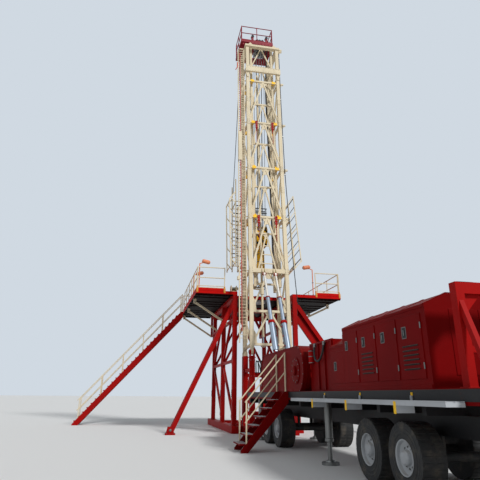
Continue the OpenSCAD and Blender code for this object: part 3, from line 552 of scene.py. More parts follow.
class Form:
    """Grows one mesh out of numpy grids of points."""

    def __init__(self) -> None:
        """Starts empty."""
        self.blocks: list[np.ndarray] = []
        self.quads: list[np.ndarray] = []
        self.ends: list[np.ndarray] = []
        self.count = 0

    def grid(self, points: np.ndarray, capped: bool = True) -> "Form":
        """Adds a tube-like surface from rows of points, each row a closed ring.

        The quad at row i and column j joins the points (i, j), (i, j+1), (i+1, j+1) and (i+1, j), and the
        last column joins the first.

        Args:
            points: Points, rows by columns by 3.
            capped: Whether flat faces close the two ends.

        Returns:
            This form.
        """
        rows, columns = points.shape[:2]
        index = np.arange(rows * columns).reshape(rows, columns) + self.count
        after = np.roll(index, -1, axis=1)
        quads = np.stack([index[:-1], after[:-1], after[1:], index[1:]], axis=-1)
        self.blocks.append(points.reshape(-1, 3))
        self.quads.append(quads.reshape(-1, 4))
        if capped:
            self.ends += [index[:1, ::-1], index[-1:]]
        self.count += rows * columns
        return self

    def sweep(self, path: Sequence[Point], ring: np.ndarray, up: Point = Z_AXIS, sizes: Any = 1.0) -> "Form":
        """Carries a ring along a path: point = path + size * (ring x * side + ring y * top).

        Args:
            path: Points in order.
            ring: The section, points by 2.
            up: A direction that the path never runs along.
            sizes: The section's size, one value or one for each point.

        Returns:
            This form.
        """
        line = np.asarray(path, float)
        ahead = unit(np.gradient(line, axis=0))
        side = unit(np.cross(up, ahead))
        top = np.cross(ahead, side)
        size = np.broadcast_to(np.asarray(sizes, float), len(line))[:, None, None]
        across = ring[None, :, 0, None] * side[:, None] + ring[None, :, 1, None] * top[:, None]
        return self.grid(line[:, None] + size * across)

    def bar(self, start: Point, end: Point, width: float, height: float, bevel: float = 0.003) -> "Form":
        """A straight bar with bevelled edges and ends; its height stands as upright as its run allows.

        Args:
            start: The middle of one end.
            end: The middle of the other.
            width: The section's size across.
            height: Its upright size.
            bevel: Size of the bevel.

        Returns:
            This form.
        """
        a = np.asarray(start, float)
        b = np.asarray(end, float)
        run = unit(b - a)
        up = Y_AXIS if abs(run[2]) > 0.9 else Z_AXIS
        path = [a, a + run * bevel, b - run * bevel, b]
        small = 1 - 2 * bevel / min(width, height) * 0.7
        return self.sweep(path, rectangle(width, height, bevel), up, (small, 1.0, 1.0, small))

    def box(self, start: Point, end: Point, bevel: float = 0.003) -> "Form":
        """A box with bevelled edges between any two opposite corners.

        Args:
            start: One corner.
            end: The opposite one.
            bevel: Size of the bevel.

        Returns:
            This form.
        """
        a = np.minimum(start, end)
        b = np.maximum(start, end)
        middle = (a + b) / 2
        size = b - a
        return self.bar((middle[0], a[1], middle[2]), (middle[0], b[1], middle[2]), size[0], size[2], bevel)

    def tube(self, path: Sequence[Point], radius: float, sides: int = 10,
             up: Optional[Point] = None) -> "Form":
        """A round tube or rod along a path.

        Args:
            path: Points in order.
            radius: Its radius.
            sides: Steps round it.
            up: A direction that the path never runs along, or None to choose one.

        Returns:
            This form.
        """
        line = np.asarray(path, float)
        run = np.abs(line[-1] - line[0])
        return self.sweep(line, circle(radius, sides), up or (Y_AXIS if run[2] > run[1] else Z_AXIS))

    def lathe(self, profile: Sequence[tuple[float, float]], origin: Point, axis: Point, sides: int = 20,
              capped: bool = True) -> "Form":
        """Turns a profile about an axis: point = origin + h * axis + r * (cos a * side + sin a * top).

        Args:
            profile: Pairs of radius and height along the axis.
            origin: A point on the axis.
            axis: The axis.
            sides: Steps round the turn.
            capped: Whether flat ends close it; without them the profile runs back to its start.

        Returns:
            This form.
        """
        pairs = np.asarray(profile if capped else [*profile, profile[0]], float)
        along = unit(np.asarray(axis, float))
        helper = np.array(Z_AXIS if abs(along[2]) < 0.9 else X_AXIS)
        side = unit(np.cross(helper, along))
        top = np.cross(along, side)
        ring = circle(1.0, sides)
        round_it = ring[:, :1] * side + ring[:, 1:] * top
        points = np.asarray(origin) + pairs[:, None, 1:] * along + pairs[:, None, :1] * round_it
        return self.grid(points, capped)

    def stub(self, radii: tuple[float, float], heights: Point, origin: Point, axis: Point,
             sides: int = 20) -> "Form":
        """A round head: straight from the first height to the second, then drawn in to its tip.

        Args:
            radii: The head's radius and its tip's.
            heights: Where it starts, where it begins to draw in and where it ends, along the axis.
            origin: A point on the axis.
            axis: The axis.
            sides: Steps round the turn.

        Returns:
            This form.
        """
        wide, tip = radii
        foot, edge, top = heights
        return self.lathe([(wide, foot), (wide, edge), (tip, top)], origin, axis, sides)

    def hoop(self, radii: tuple[float, float], halves: tuple[float, float], origin: Point, axis: Point,
             sides: int = 28, at: float = 0.0) -> "Form":
        """A band round a shaft, open inside.

        Args:
            radii: Its inner radius and its outer one.
            halves: Half its width at each of them.
            origin: A point on the axis.
            axis: The axis.
            sides: Steps round the turn.
            at: Where its middle lies along the axis.

        Returns:
            This form.
        """
        inner, outer = radii
        half, lip = halves
        ring = [(inner, at - half), (outer, at - lip), (outer, at + lip), (inner, at + half)]
        return self.lathe(ring, origin, axis, sides, False)

    def plate(self, outline: Sequence[tuple[float, float]], origin: Point, right: Point, up: Point,
              thick: float, bevel: float = 0.002) -> "Form":
        """A flat plate from an outline that turns anticlockwise about its middle.

        Args:
            outline: Pairs along right and up.
            origin: Where the outline's zero lies, in the middle of the thickness.
            right: The outline's first direction.
            up: Its second direction.
            thick: Thickness.
            bevel: Size of the bevel on its edges.

        Returns:
            This form.
        """
        flat = np.asarray(outline, float)
        middle = flat.mean(axis=0)
        inner = middle + (flat - middle) * (1 - bevel / np.abs(flat - middle).max())
        normal = np.cross(right, up)
        levels = ((inner, -0.5), (flat, bevel / thick - 0.5), (flat, 0.5 - bevel / thick), (inner, 0.5))
        axes = np.array([right, up])
        rows = [points @ axes + k * thick * normal for points, k in levels]
        return self.grid(np.asarray(origin) + np.stack(rows))

    def bolt(self, places: Sequence[Point], axis: Point, radius: float = 0.014,
             height: float = 0.012) -> "Form":
        """Hexagonal bolt heads on washers at the given places.

        Args:
            places: Where the washers stand.
            axis: The direction in which the heads point.
            radius: The head's radius.
            height: How far the head stands out.

        Returns:
            This form.
        """
        washer = radius * 1.4
        profile = ((washer, 0.0), (washer, height * 0.3), (radius, height * 0.31), (radius, height * 0.9),
                   (radius * 0.8, height))
        head = Form().lathe(profile, (0.0, 0.0, 0.0), axis, 6)
        return self.repeat(head, places)

    def repeat(self, other: "Form", places: Sequence[Point]) -> "Form":
        """Adds copies of another form moved to each of the places."""
        moves = np.asarray(places, float).reshape(-1, 3)
        return self._copies(other, moves[:, None] + np.concatenate(other.blocks)[None])

    def _copies(self, other: "Form", points: np.ndarray) -> "Form":
        """Adds copies of another form, whose points are given as copies by points by 3.

        Args:
            other: The form that is copied.
            points: Copies by points by 3.

        Returns:
            This form.
        """
        step = np.arange(len(points))[:, None, None] * points.shape[1] + self.count
        self.blocks.append(points.reshape(-1, 3))
        self.quads += [(quads[None] + step).reshape(-1, 4) for quads in other.quads]
        for ends in other.ends:
            self.ends.append((ends[None] + step).reshape(-1, ends.shape[-1]))
        self.count += points.shape[0] * points.shape[1]
        return self

    def turned(self, count: int) -> "Form":
        """Copies turned evenly about the X axis: y' = y cos a - z sin a, z' = y sin a + z cos a.

        Args:
            count: How many copies the full turn has.

        Returns:
            A new form of all the copies.
        """
        angle = turns(count)[:, None]
        x, y, z = np.concatenate(self.blocks).T
        c, s = np.cos(angle), np.sin(angle)
        points = np.stack([np.broadcast_to(x, (count, len(x))), y * c - z * s, y * s + z * c], axis=-1)
        return Form()._copies(self, points)

    def mirror(self) -> "Form":
        """Adds the form's mirror image across the rig's middle plane.

        Returns:
            This form.
        """
        twin = Form()
        twin.blocks = [points * (-1.0, 1.0, 1.0) for points in self.blocks]
        twin.quads = [quads[:, ::-1] for quads in self.quads]
        twin.ends = [ends[:, ::-1] for ends in self.ends]
        twin.count = self.count
        return self.repeat(twin, [(0.0, 0.0, 0.0)])

    def piece(self, name: str, finish: Finish, body: Body = Body.ROOT,
              place: Matrix = IDENTITY) -> bpy.types.Object:
        """Makes the scene's object.

        Args:
            name: The object's name.
            finish: Its finish.
            body: The body that it rides on.
            place: The frame in which the form was drawn.

        Returns:
            The object, at the origin, its place in its vertices.
        """
        turn = np.array(place)
        points = np.concatenate(self.blocks) @ turn[:3, :3].T + turn[:3, 3]
        faces = [face for quads in self.quads for face in quads.tolist()]
        faces += [face for ends in self.ends for face in ends.tolist()]
        mesh = bpy.data.meshes.new(name)
        mesh.from_pydata(points.tolist(), [], faces)
        mesh.polygons.foreach_set("use_smooth", np.ones(len(mesh.polygons), dtype=bool))
        mesh.set_sharp_from_angle(angle=math.radians(32))
        mesh.materials.append(BOX.get(finish))
        made = bpy.data.objects.new(name, mesh)
        bpy.context.scene.collection.objects.link(made)
        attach(made, body.value)
        LOG.info("%s: %d faces", name, len(mesh.polygons))
        return made


def joint(name: str) -> dict[str, Any]:
    """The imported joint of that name."""
    return next(j for j in frame["joints"] if j["name"] == name)


TILT = joint("mast_tilt")
HINGE = TILT["pos_m"][2]
LEAN = math.radians(TILT["range_deg"][1] - 90.0)
MAST = Matrix.Translation((0.0, 0.0, HINGE)) @ Matrix.Rotation(-LEAN, 4, "X")


@dataclass(frozen=True)
class Section:
    """One lattice section of the mast, in the mast's frame: from the hinge, with Z up the mast.

    Attributes:
        body: The body that it is part of.
        half: Half the distance between its left and right legs.
        near: The y of the legs near the carrier.
        depth: How far the other legs lie from them.
        leg: The legs' thickness.
        beam: The cross beams' thickness.
        foot: The height of the lowest beam.
        levels: The heights of the beams above it.
    """

    body: Body
    half: float
    near: float
    depth: float
    leg: float
    beam: float
    foot: float
    levels: tuple[float, ...]

    @property
    def far(self) -> float:
        """The legs' plane on the side of the well."""
        return self.near + self.depth


LOWER = Section(Body.LOWER_MAST, 0.865, 0.0, 1.45, 0.17, 0.10, 0.33, (1.8, 3.7, 6.45, 9.2, 11.95, 14.7))
UPPER = Section(Body.UPPER_MAST, 0.605, 0.245, 0.96, 0.12, 0.08, 3.13, (5.68, 8.23, 10.78, 13.33, 15.88))
MAST_TOP = 17.1
CROWN = 17.4
PUSH = LOWER.levels[1]
FOOT = joint("barrel_tilt")["pos_m"]
RAM_AXIS = joint("stage_slide")["axis"]
RAM_LEAN = math.atan2(RAM_AXIS[1], RAM_AXIS[2])
RAM = Matrix.Translation((0.0, FOOT[1], FOOT[2])) @ Matrix.Rotation(-RAM_LEAN, 4, "X")


@dataclass(frozen=True)
class LatticeJoints:
    """Gusset plates and their bolts where a section's braces meet its legs and beams.

    The outlines are those of the lower section; the upper one's are smaller, as its legs are.
    """

    section: Section
    thick: float = 0.022
    lap: float = 0.004
    apex: Outline = ((-0.24, 0.0), (-0.07, -0.33), (0.07, -0.33), (0.24, 0.0))
    corner: Outline = ((-0.16, 0.0), (0.004, 0.0), (0.004, 0.62), (-0.11, 0.44))
    flank: Outline = ((0.0, 0.0), (0.26, 0.0), (0.17, 0.3), (0.0, 0.42))
    bolt_x: tuple[float, ...] = (-0.15, -0.05, 0.05, 0.15)
    bolt_drop: float = 0.05

    @property
    def size(self) -> float:
        """The plates' size against those of the lower section."""
        return self.section.leg / LOWER.leg

    def build(self) -> None:
        """Makes the plates on the back and on both sides."""
        s = self.section
        plates = Form()
        bolts = Form()
        bays = list(zip((s.foot, *s.levels[:-1]), s.levels))
        for low, high in bays:
            self._back(plates, bolts, low, high)
        for side in SIDES:
            for number, (low, high) in enumerate(bays):
                starts_near = number % 2 == 0
                self._flank(plates, side, low, 1, starts_near)
                self._flank(plates, side, high, -1, not starts_near)
        plates.piece(f"{s.body.value}_gussets", CREAM, s.body, MAST)
        bolts.piece(f"{s.body.value}_gusset_bolts", STEEL, s.body, MAST)

    def _back(self, plates: Form, bolts: Form, low: float, high: float) -> None:
        """One bay's plates on the back: at the top of the braces, and at the foot of each.

        Args:
            plates: The form of the plates.
            bolts: The form of the bolts.
            low: Where the bay starts.
            high: Where it ends.
        """
        s = self.section
        top = high - s.beam / 2 + self.lap
        plates.plate(flipped(self.apex, size=self.size), (0.0, s.near, top), X_AXIS, Z_AXIS, self.thick)
        y, z = s.near - self.thick / 2, top - self.bolt_drop * self.size
        bolts.bolt([(x * self.size, y, z) for x in self.bolt_x], TO_CARRIER, 0.012)
        for side in SIDES:
            place = (side * (s.half - s.leg / 2), s.near, low + s.beam / 2 - self.lap)
            plates.plate(flipped(self.corner, side, 1, self.size), place, X_AXIS, Z_AXIS, self.thick)

    def _flank(self, plates: Form, side: int, level: float, up: int, near: bool) -> None:
        """One plate on a side, at the leg near the carrier or at the far one, over or under a beam.

        Args:
            plates: The form of the plates.
            side: The side of the mast.
            level: The beam's height.
            up: 1 for a plate over the beam and -1 for one under it.
            near: Whether it is at the leg near the carrier.
        """
        s = self.section
        y = s.near + s.leg / 2 if near else s.far - s.leg / 2
        place = (side * s.half, y, level + up * s.beam / 2)
        plates.plate(flipped(self.flank, 1 if near else -1, up, self.size), place, Y_AXIS, Z_AXIS, self.thick)


@dataclass(frozen=True)
class MastFittings:
    """What is fixed to the lower section: feet, ladder fittings, latches, guides, splices and lines.

    Places are in the mast's frame, and push_splices are plates on the left legs' outer faces.
    """

    boss_face: float = 0.112
    boss_bolts: float = 0.078
    ladder_x: tuple[float, float] = (-1.39, -1.05)
    rail_x: float = -1.29
    rail_top: float = 16.6
    guard_z: tuple[float, float] = (9.56, 11.28)
    rung_y: tuple[float, float] = (0.07, 0.104)
    latch_x: float = 0.44
    latch_back: float = -0.1
    guide_x: float = 0.605
    extra_splices: tuple[float, ...] = (8.0, 13.4)
    push_splices: tuple[float, ...] = (PUSH - 0.35, 7.9, 13.3)
    beam_z: float = 15.42
    beam_half: float = 0.99
    cable_y: float = -0.062
    rope_y: float = 0.3

    def build(self) -> None:
        """Makes the fittings."""
        self._feet()
        self._ladder()
        self._latches()
        self._splices()
        self._lines()

    def _feet(self) -> None:
        """Hinge bosses with their pins' heads and keeper plates."""
        bosses = Form()
        pins = Form()
        for side in SIDES:
            for out in SIDES:
                face = side * LOWER.half + out * self.boss_face
                axis = (out, 0.0, 0.0)
                bosses.stub((0.1, 0.085), (0.0, 0.014, 0.022), (face, 0.0, 0.0), axis, 24)
                pins.stub((0.062, 0.052), (0.02, 0.032, 0.04), (face, 0.0, 0.0), axis)
                spots = around((face + out * 0.014, 0.0, 0.0), self.boss_bolts, (0.5, 2.6, 4.7), True)
                pins.bolt(spots, axis, 0.011)
        hinge = Matrix.Translation((0.0, 0.0, HINGE))
        bosses.piece("hinge_bosses", RED, Body.ROOT, hinge)
        pins.piece("hinge_pin_heads", STEEL, Body.ROOT, hinge)

    def _ladder(self) -> None:
        """The red fall-arrest rail, the rest guard half way, the lamp bracket and the junction box."""
        left, right = self.ladder_x
        x = self.rail_x
        rail = Form().tube([(x, 0.035, z) for z in (0.9, 6.0, 12.0, self.rail_top)], 0.024)
        for z in np.arange(1.2, self.rail_top, 0.9):
            rail.box((x - 0.034, 0.03, z), (x + 0.034, 0.078, z + 0.05))
        rail.box((left - 0.07, 0.03, 15.6), (left - 0.015, 0.11, 15.95), 0.01)
        rail.bar((left - 0.05, 0.07, 15.62), (left - 0.14, 0.07, 15.42), 0.04, 0.06)
        rail.piece("ladder_fall_arrest_rail", SAFETY_RED, LOWER.body, MAST)
        low, high = self.guard_z
        guard = Form().box((left - 0.03, -0.06, low), (left + 0.16, -0.03, high), 0.006)
        for z in (9.7, 10.4, 11.1):
            guard.box((left - 0.02, -0.035, z), (left + 0.02, 0.062, z + 0.04))
        guard.box((left - 0.09, 0.04, 3.24), (left + 0.03, 0.18, 3.42), 0.012)
        near, far = self.rung_y
        for z in np.arange(0.75, MAST_TOP - 0.4, 0.3):
            guard.box((left + 0.02, near, z - 0.009), (right - 0.02, far, z + 0.009), 0.002)
        guard.piece("ladder_guard_and_rungs", CREAM, LOWER.body, MAST)

    def _latches(self) -> None:
        """Covers, springs and bolts of the latch housings, and the guide blocks' pads and bolts."""
        covers = Form()
        bolts = Form()
        back = self.latch_back
        for level in (LOWER.levels[2], LOWER.levels[4]):
            for x in (-self.latch_x, self.latch_x):
                covers.box((x - 0.075, back - 0.016, level - 0.02), (x + 0.075, back, level + 0.045))
                covers.box((x - 0.07, back - 0.015, level - 0.395), (x + 0.07, back, level - 0.34))
                spring = [(0.02, 0.0), (0.034, 0.01), (0.034, 0.14), (0.02, 0.15)]
                covers.lathe(spring, (x, back + 0.016, level - 0.56), Z_AXIS, 14)
                spots = [(x + i * 0.04, back - 0.01, level + k) for i in SIDES for k in (-0.3, -0.16, -0.05)]
                bolts.bolt(spots, TO_CARRIER, 0.011, 0.008)
        covers.piece("latch_covers", RED, LOWER.body, MAST)
        pads = Form()
        face = LOWER.beam / 2
        for level in LOWER.levels[2:]:
            for x in (-self.guide_x, self.guide_x):
                spots = [(x + i * 0.05, -face, level + k) for i in SIDES for k in (-0.02, 0.025)]
                bolts.bolt(spots, TO_CARRIER, 0.012)
                pads.box((x - 0.1, -face - 0.014, level - 0.07), (x + 0.1, -face, level + 0.075), 0.004)
                pads.box((x - 0.07, face + 0.002, level + 0.15), (x + 0.07, 0.17, level + 0.185), 0.006)
        bolts.piece("mast_bolts", STEEL, LOWER.body, MAST)
        pads.piece("guide_pads", YELLOW, LOWER.body, MAST)

    def _splices(self) -> None:
        """Bolted splice plates on the legs' backs and outer faces, and the plates at the mast's top."""
        plates = Form()
        bolts = Form()
        back = -LOWER.leg / 2
        for level in (*LOWER.levels[1:-1], *self.extra_splices):
            for x in (-LOWER.half, LOWER.half):
                plates.box((x - 0.075, back - 0.012, level - 0.16), (x + 0.075, back, level + 0.16))
                rows = (-0.12, -0.04, 0.04, 0.12)
                spots = [(x + i * 0.05, back - 0.012, level + k) for i in SIDES for k in rows]
                bolts.bolt(spots, TO_CARRIER, 0.011)
        outer = LOWER.half + LOWER.leg / 2
        for y in (0.0, LOWER.far):
            for level in self.push_splices:
                plates.box((-outer - 0.012, y - 0.07, level - 0.14), (-outer, y + 0.07, level + 0.14))
                spots = [(-outer - 0.012, y + i * 0.045, level + k) for i in SIDES for k in (-0.1, 0.0, 0.1)]
                bolts.bolt(spots, (-1.0, 0.0, 0.0), 0.011)
        self._beam(plates, bolts)
        lug = ((-0.14, 0.0), (0.14, 0.0), (0.02, 0.15), (-0.02, 0.15))
        for x in (-0.7, 0.7):
            plates.plate(lug, (x, -0.1, MAST_TOP + 0.128), X_AXIS, Z_AXIS, 0.03)
        plates.box((-1.26, 0.26, MAST_TOP + 0.02), (-1.0, 0.34, MAST_TOP + 0.1), 0.006)
        plates.piece("mast_splice_plates", CREAM, LOWER.body, MAST)
        bolts.piece("mast_splice_bolts", STEEL, LOWER.body, MAST)

    def _beam(self, plates: Form, bolts: Form) -> None:
        """Two rows of bolts on the box beam's back, and the strips along its top and bottom edges.

        Args:
            plates: The form of the plates.
            bolts: The form of the bolts.
        """
        for x in np.linspace(-0.9, 0.9, 13):
            bolts.bolt([(x, -0.207, self.beam_z + k) for k in (-0.13, 0.13)], TO_CARRIER, 0.01)
        for low, high in ((-0.185, -0.158), (0.158, 0.185)):
            ends = ((-self.beam_half, -0.212, self.beam_z + low), (self.beam_half, -0.19, self.beam_z + high))
            plates.box(*ends, 0.004)

    def _lines(self) -> None:
        """The cable down the right leg and the rope that holds the left racking board."""
        y = self.cable_y
        cable = [(0.99, y, 16.9), (0.985, y, 13.6), (1.02, y, 8.9), (1.12, y, 6.26),
                 (1.2, y, 4.44), (1.31, -0.03, 2.6), (1.4, 0.1, 2.2), (1.46, 0.45, 2.52)]
        Form().tube(smooth(cable), 0.02, 8).piece("mast_cable", HOSE, LOWER.body, MAST)
        rope = [(-1.22, self.rope_y, MAST_TOP + 0.03), (-1.4, self.rope_y, 12.5), (-1.64, self.rope_y, 7.72)]
        Form().tube(rope, 0.016, 8).piece("racking_board_rope", HOSE, LOWER.body, MAST)
        clips = Form()
        for z, x in ((16.5, 0.99), (13.6, 0.985), (11.2, 1.0), (8.9, 1.02)):
            clips.box((0.945, -0.09, z - 0.03), (x + 0.03, -0.045, z + 0.03), 0.005)
        clips.piece("mast_cable_clips", STEEL, LOWER.body, MAST)


@dataclass(frozen=True)
class UpperFittings:
    """What is fixed to the upper section: yoke ring, rotary hose, catline and the crown's trim."""

    yoke: Point = (-0.4, 0.47, 2.98)
    hose_y: float = 0.42
    catline_y: float = 0.475
    crown_y: tuple[float, float] = (-0.005, 1.7)
    crown_x: tuple[float, float] = (-1.21, 0.68)
    crown_top: float = CROWN + 0.16

    def build(self) -> None:
        """Makes the fittings."""
        self._yoke()
        self._hose()
        self._catline()
        self._crown()

    def _yoke(self) -> None:
        """The open ring round the scoping barrel's head, its socket and the hose loops on it."""
        x, y, z = self.yoke
        angle = np.linspace(0.15 * math.pi, 1.9 * math.pi, 22)
        cosine, sine = np.cos(angle), np.sin(angle)
        ring = np.stack([x + 0.27 * cosine, y + 0.05 * sine, z + 0.06 * sine], axis=1)
        yoke = Form().tube(ring, 0.035, 10, Z_AXIS)
        yoke.stub((0.09, 0.075), (0.0, 0.3, 0.34), (-0.25, 0.365, 2.66), Z_AXIS)
        yoke.piece("scoping_yoke_ring", CREAM, UPPER.body, MAST)
        loops = Form()
        for i in range(5):
            at = -0.62 + i * 0.11
            loop = [(at, 0.44, 3.03), (at + 0.05, 0.41, 3.16), (at + 0.1, 0.44, 3.02), (at + 0.06, 0.5, 2.93)]
            loops.tube(smooth(loop, 4), 0.012, 6, (0.3, 1.0, 0.2))
        loops.piece("yoke_hose_loops", HOSE, UPPER.body, MAST)

    def _hose(self) -> None:
        """The rotary hose from the crown down to the upper section's foot, and its bands."""
        y = self.hose_y
        hose = [(0.41, y, CROWN - 0.01), (0.36, y, 16.6), (0.27, y, 14.2), (0.31, y, 10.7),
                (0.345, y, 7.3), (0.37, y, 4.6), (0.45, 0.41, 3.5), (0.535, 0.36, 3.16)]
        Form().tube(smooth(hose), 0.042, 12).piece("rotary_hose", HOSE, UPPER.body, MAST)
        bands = Form()
        for x, z in ((0.405, 17.25), (0.298, 11.6), (0.347, 7.1)):
            bands.lathe([(0.05, 0.0), (0.05, 0.07)], (x, y, z), Z_AXIS, 14)
        bands.piece("hose_bands", STEEL, UPPER.body, MAST)

    def _catline(self) -> None:
        """The thin line from the crown, with the weight at its lower end."""
        y = self.catline_y
        line = Form().tube([(-0.29, y, CROWN + 0.02), (-0.17, y, 10.0), (-0.08, y, 2.2)], 0.011, 8)
        line.lathe([(0.011, 0.0), (0.03, 0.03), (0.035, 0.12), (0.011, 0.15)], (-0.08, y, 2.08), Z_AXIS, 12)
        line.piece("catline", HOSE, UPPER.body, MAST)

    def _crown(self) -> None:
        """Toe boards, ribs, rail brackets and rope rollers on the crown."""
        near, far = self.crown_y
        left, right = self.crown_x
        top = self.crown_top
        trim = Form()
        for y in (near, far - 0.02):
            trim.box((left, y, top - 0.002), (right, y + 0.02, top + 0.1))
        for x in (left, right - 0.02):
            trim.box((x, near, top - 0.002), (x + 0.02, far, top + 0.1))
        for x in np.linspace(-0.6, 0.6, 7):
            trim.box((x - 0.012, near - 0.014, CROWN + 0.01), (x + 0.012, near + 0.01, top - 0.01))
        for x in (-0.3, -0.15, 0.0, 0.15, 0.3):
            trim.box((x - 0.02, near + 0.12, top), (x + 0.02, near + 0.2, top + 0.3), 0.005)
        trim.piece("crown_trim", CROWN_RED, UPPER.body, MAST)
        rollers = Form()
        spool = [(0.084, 0.0), (0.084, 0.02), (0.07, 0.03), (0.07, 0.15), (0.084, 0.16), (0.084, 0.18)]
        for x in (-0.5, 0.33):
            rollers.lathe(spool, (x, near + 0.085, top + 0.52), Y_AXIS, 24)
        for x in (-0.22, -0.07, 0.09):
            rollers.lathe([(0.07, 0.0), (0.07, 0.05)], (x, near + 0.135, top + 0.3), Y_AXIS)
        rollers.piece("crown_rollers", BLACK, UPPER.body, MAST)


@dataclass(frozen=True)
class RamFittings:
    """Collars, gland bolts, pipes and pin heads of the two raising cylinders, in the cylinders' frame.

    That frame starts at the foot pin, with Z along the cylinders. gap is half the distance between them,
    and run is the distance to the push beam's pin with the mast up. pipe_ends are a pipe's bends, as the
    distance from the barrel's middle and the height.
    """

    gap: float = 0.27
    barrel_top: float = 1.525
    stage_top: float = 2.7745
    run: float = 4.0991
    pipe_ends: tuple[Outline, ...] = ((0.1, 0.26), (0.137, 0.3), (0.137, 1.3), (0.11, 1.37))
    push_pin: tuple[float, float] = (-0.2, 3.5)
    lug_face: float = 0.0755
    foot_face: float = 0.092

    def build(self) -> None:
        """Makes the fittings."""
        self._collars(Body.BARRELS, 0.1175, 0.1375, self.barrel_top, 0.12)
        self._collars(Body.STAGES, 0.0825, 0.1005, self.stage_top, 0.046)
        self._pipes()
        eyes = Form()
        for x in (-self.gap, self.gap):
            eyes.box((x - 0.048, -0.048, self.run - 0.112), (x + 0.048, 0.048, self.run - 0.08), 0.006)
        eyes.piece("ram_rod_eyes", RED, Body.RODS, RAM)
        self._pins()

    def _collars(self, body: Body, inner: float, outer: float, top: float, high: float) -> None:
        """The collars round the tops of both tubes of one stage, with a circle of gland bolts on each.

        Args:
            body: The body that the tubes belong to.
            inner: The collars' bore.
            outer: The tubes' radius.
            top: The tubes' upper end.
            high: How far the collars reach down.
        """
        collars = Form()
        bolts = Form()
        ring = [(inner, -high), (outer - 0.004, -high), (outer + 0.01, 0.01 - high),
                (outer + 0.01, -0.012), (outer + 0.002, 0.006), (inner - 0.02, 0.006)]
        for x in (-self.gap, self.gap):
            collars.lathe([(r, top + h) for r, h in ring], (x, 0.0, 0.0), Z_AXIS, 32, False)
            spots = around((x, 0.0, top + 0.005), (outer + inner) / 2 + 0.004, turns(10))
            bolts.bolt(spots, Z_AXIS, 0.009, 0.01)
        collars.piece(f"ram_{body.value}_collars", RED, body, RAM)
        bolts.piece(f"ram_{body.value}_gland_bolts", STEEL, body, RAM)

    def _pipes(self) -> None:
        """Two oil pipes down the inner side of each barrel, and the clamps that hold them."""
        pipes = Form()
        clamps = Form()
        for x, inward in ((-self.gap, 1), (self.gap, -1)):
            for y in (-0.03, 0.03):
                path = [(x + inward * r, y, z) for r, z in self.pipe_ends]
                pipes.tube(smooth(path, 4), 0.011, 8, Y_AXIS)
            for z in (0.35, 0.8, 1.25):
                clamps.box((x + inward * 0.112, -0.055, z - 0.015), (x + inward * 0.152, 0.055, z + 0.015))
        pipes.piece("ram_pipes", STEEL, Body.BARRELS, RAM)
        clamps.piece("ram_pipe_clamps", RED, Body.BARRELS, RAM)

    def _pins(self) -> None:
        """Red faces on the push beam's lugs and pin heads at both ends of the cylinders."""
        lugs = Form()
        pins = Form()
        base = Form()
        rim = [(0.0752, -0.026), (0.079, -0.024), (0.079, -0.001), (0.0752, 0.001)]
        for x in (-self.gap, self.gap):
            for out in SIDES:
                axis = (out, 0.0, 0.0)
                head = (x + out * self.lug_face, *self.push_pin)
                foot = (x + out * self.foot_face, 0.0, 0.0)
                lugs.stub((0.07, 0.064), (0.0, 0.004, 0.008), head, axis, 24)
                lugs.lathe(rim, head, axis, 28, False)
                pins.stub((0.034, 0.026), (0.02, 0.026, 0.031), head, axis, 16)
                base.stub((0.075, 0.068), (-0.012, 0.004, 0.01), foot, axis, 24)
                base.stub((0.052, 0.044), (0.012, 0.02, 0.026), foot, axis)
        lugs.piece("push_beam_lug_faces", RED, LOWER.body, MAST)
        pins.piece("push_beam_pin_heads", STEEL, LOWER.body, MAST)
        base.piece("ram_foot_pins", STEEL, Body.ROOT, Matrix.Translation(FOOT))


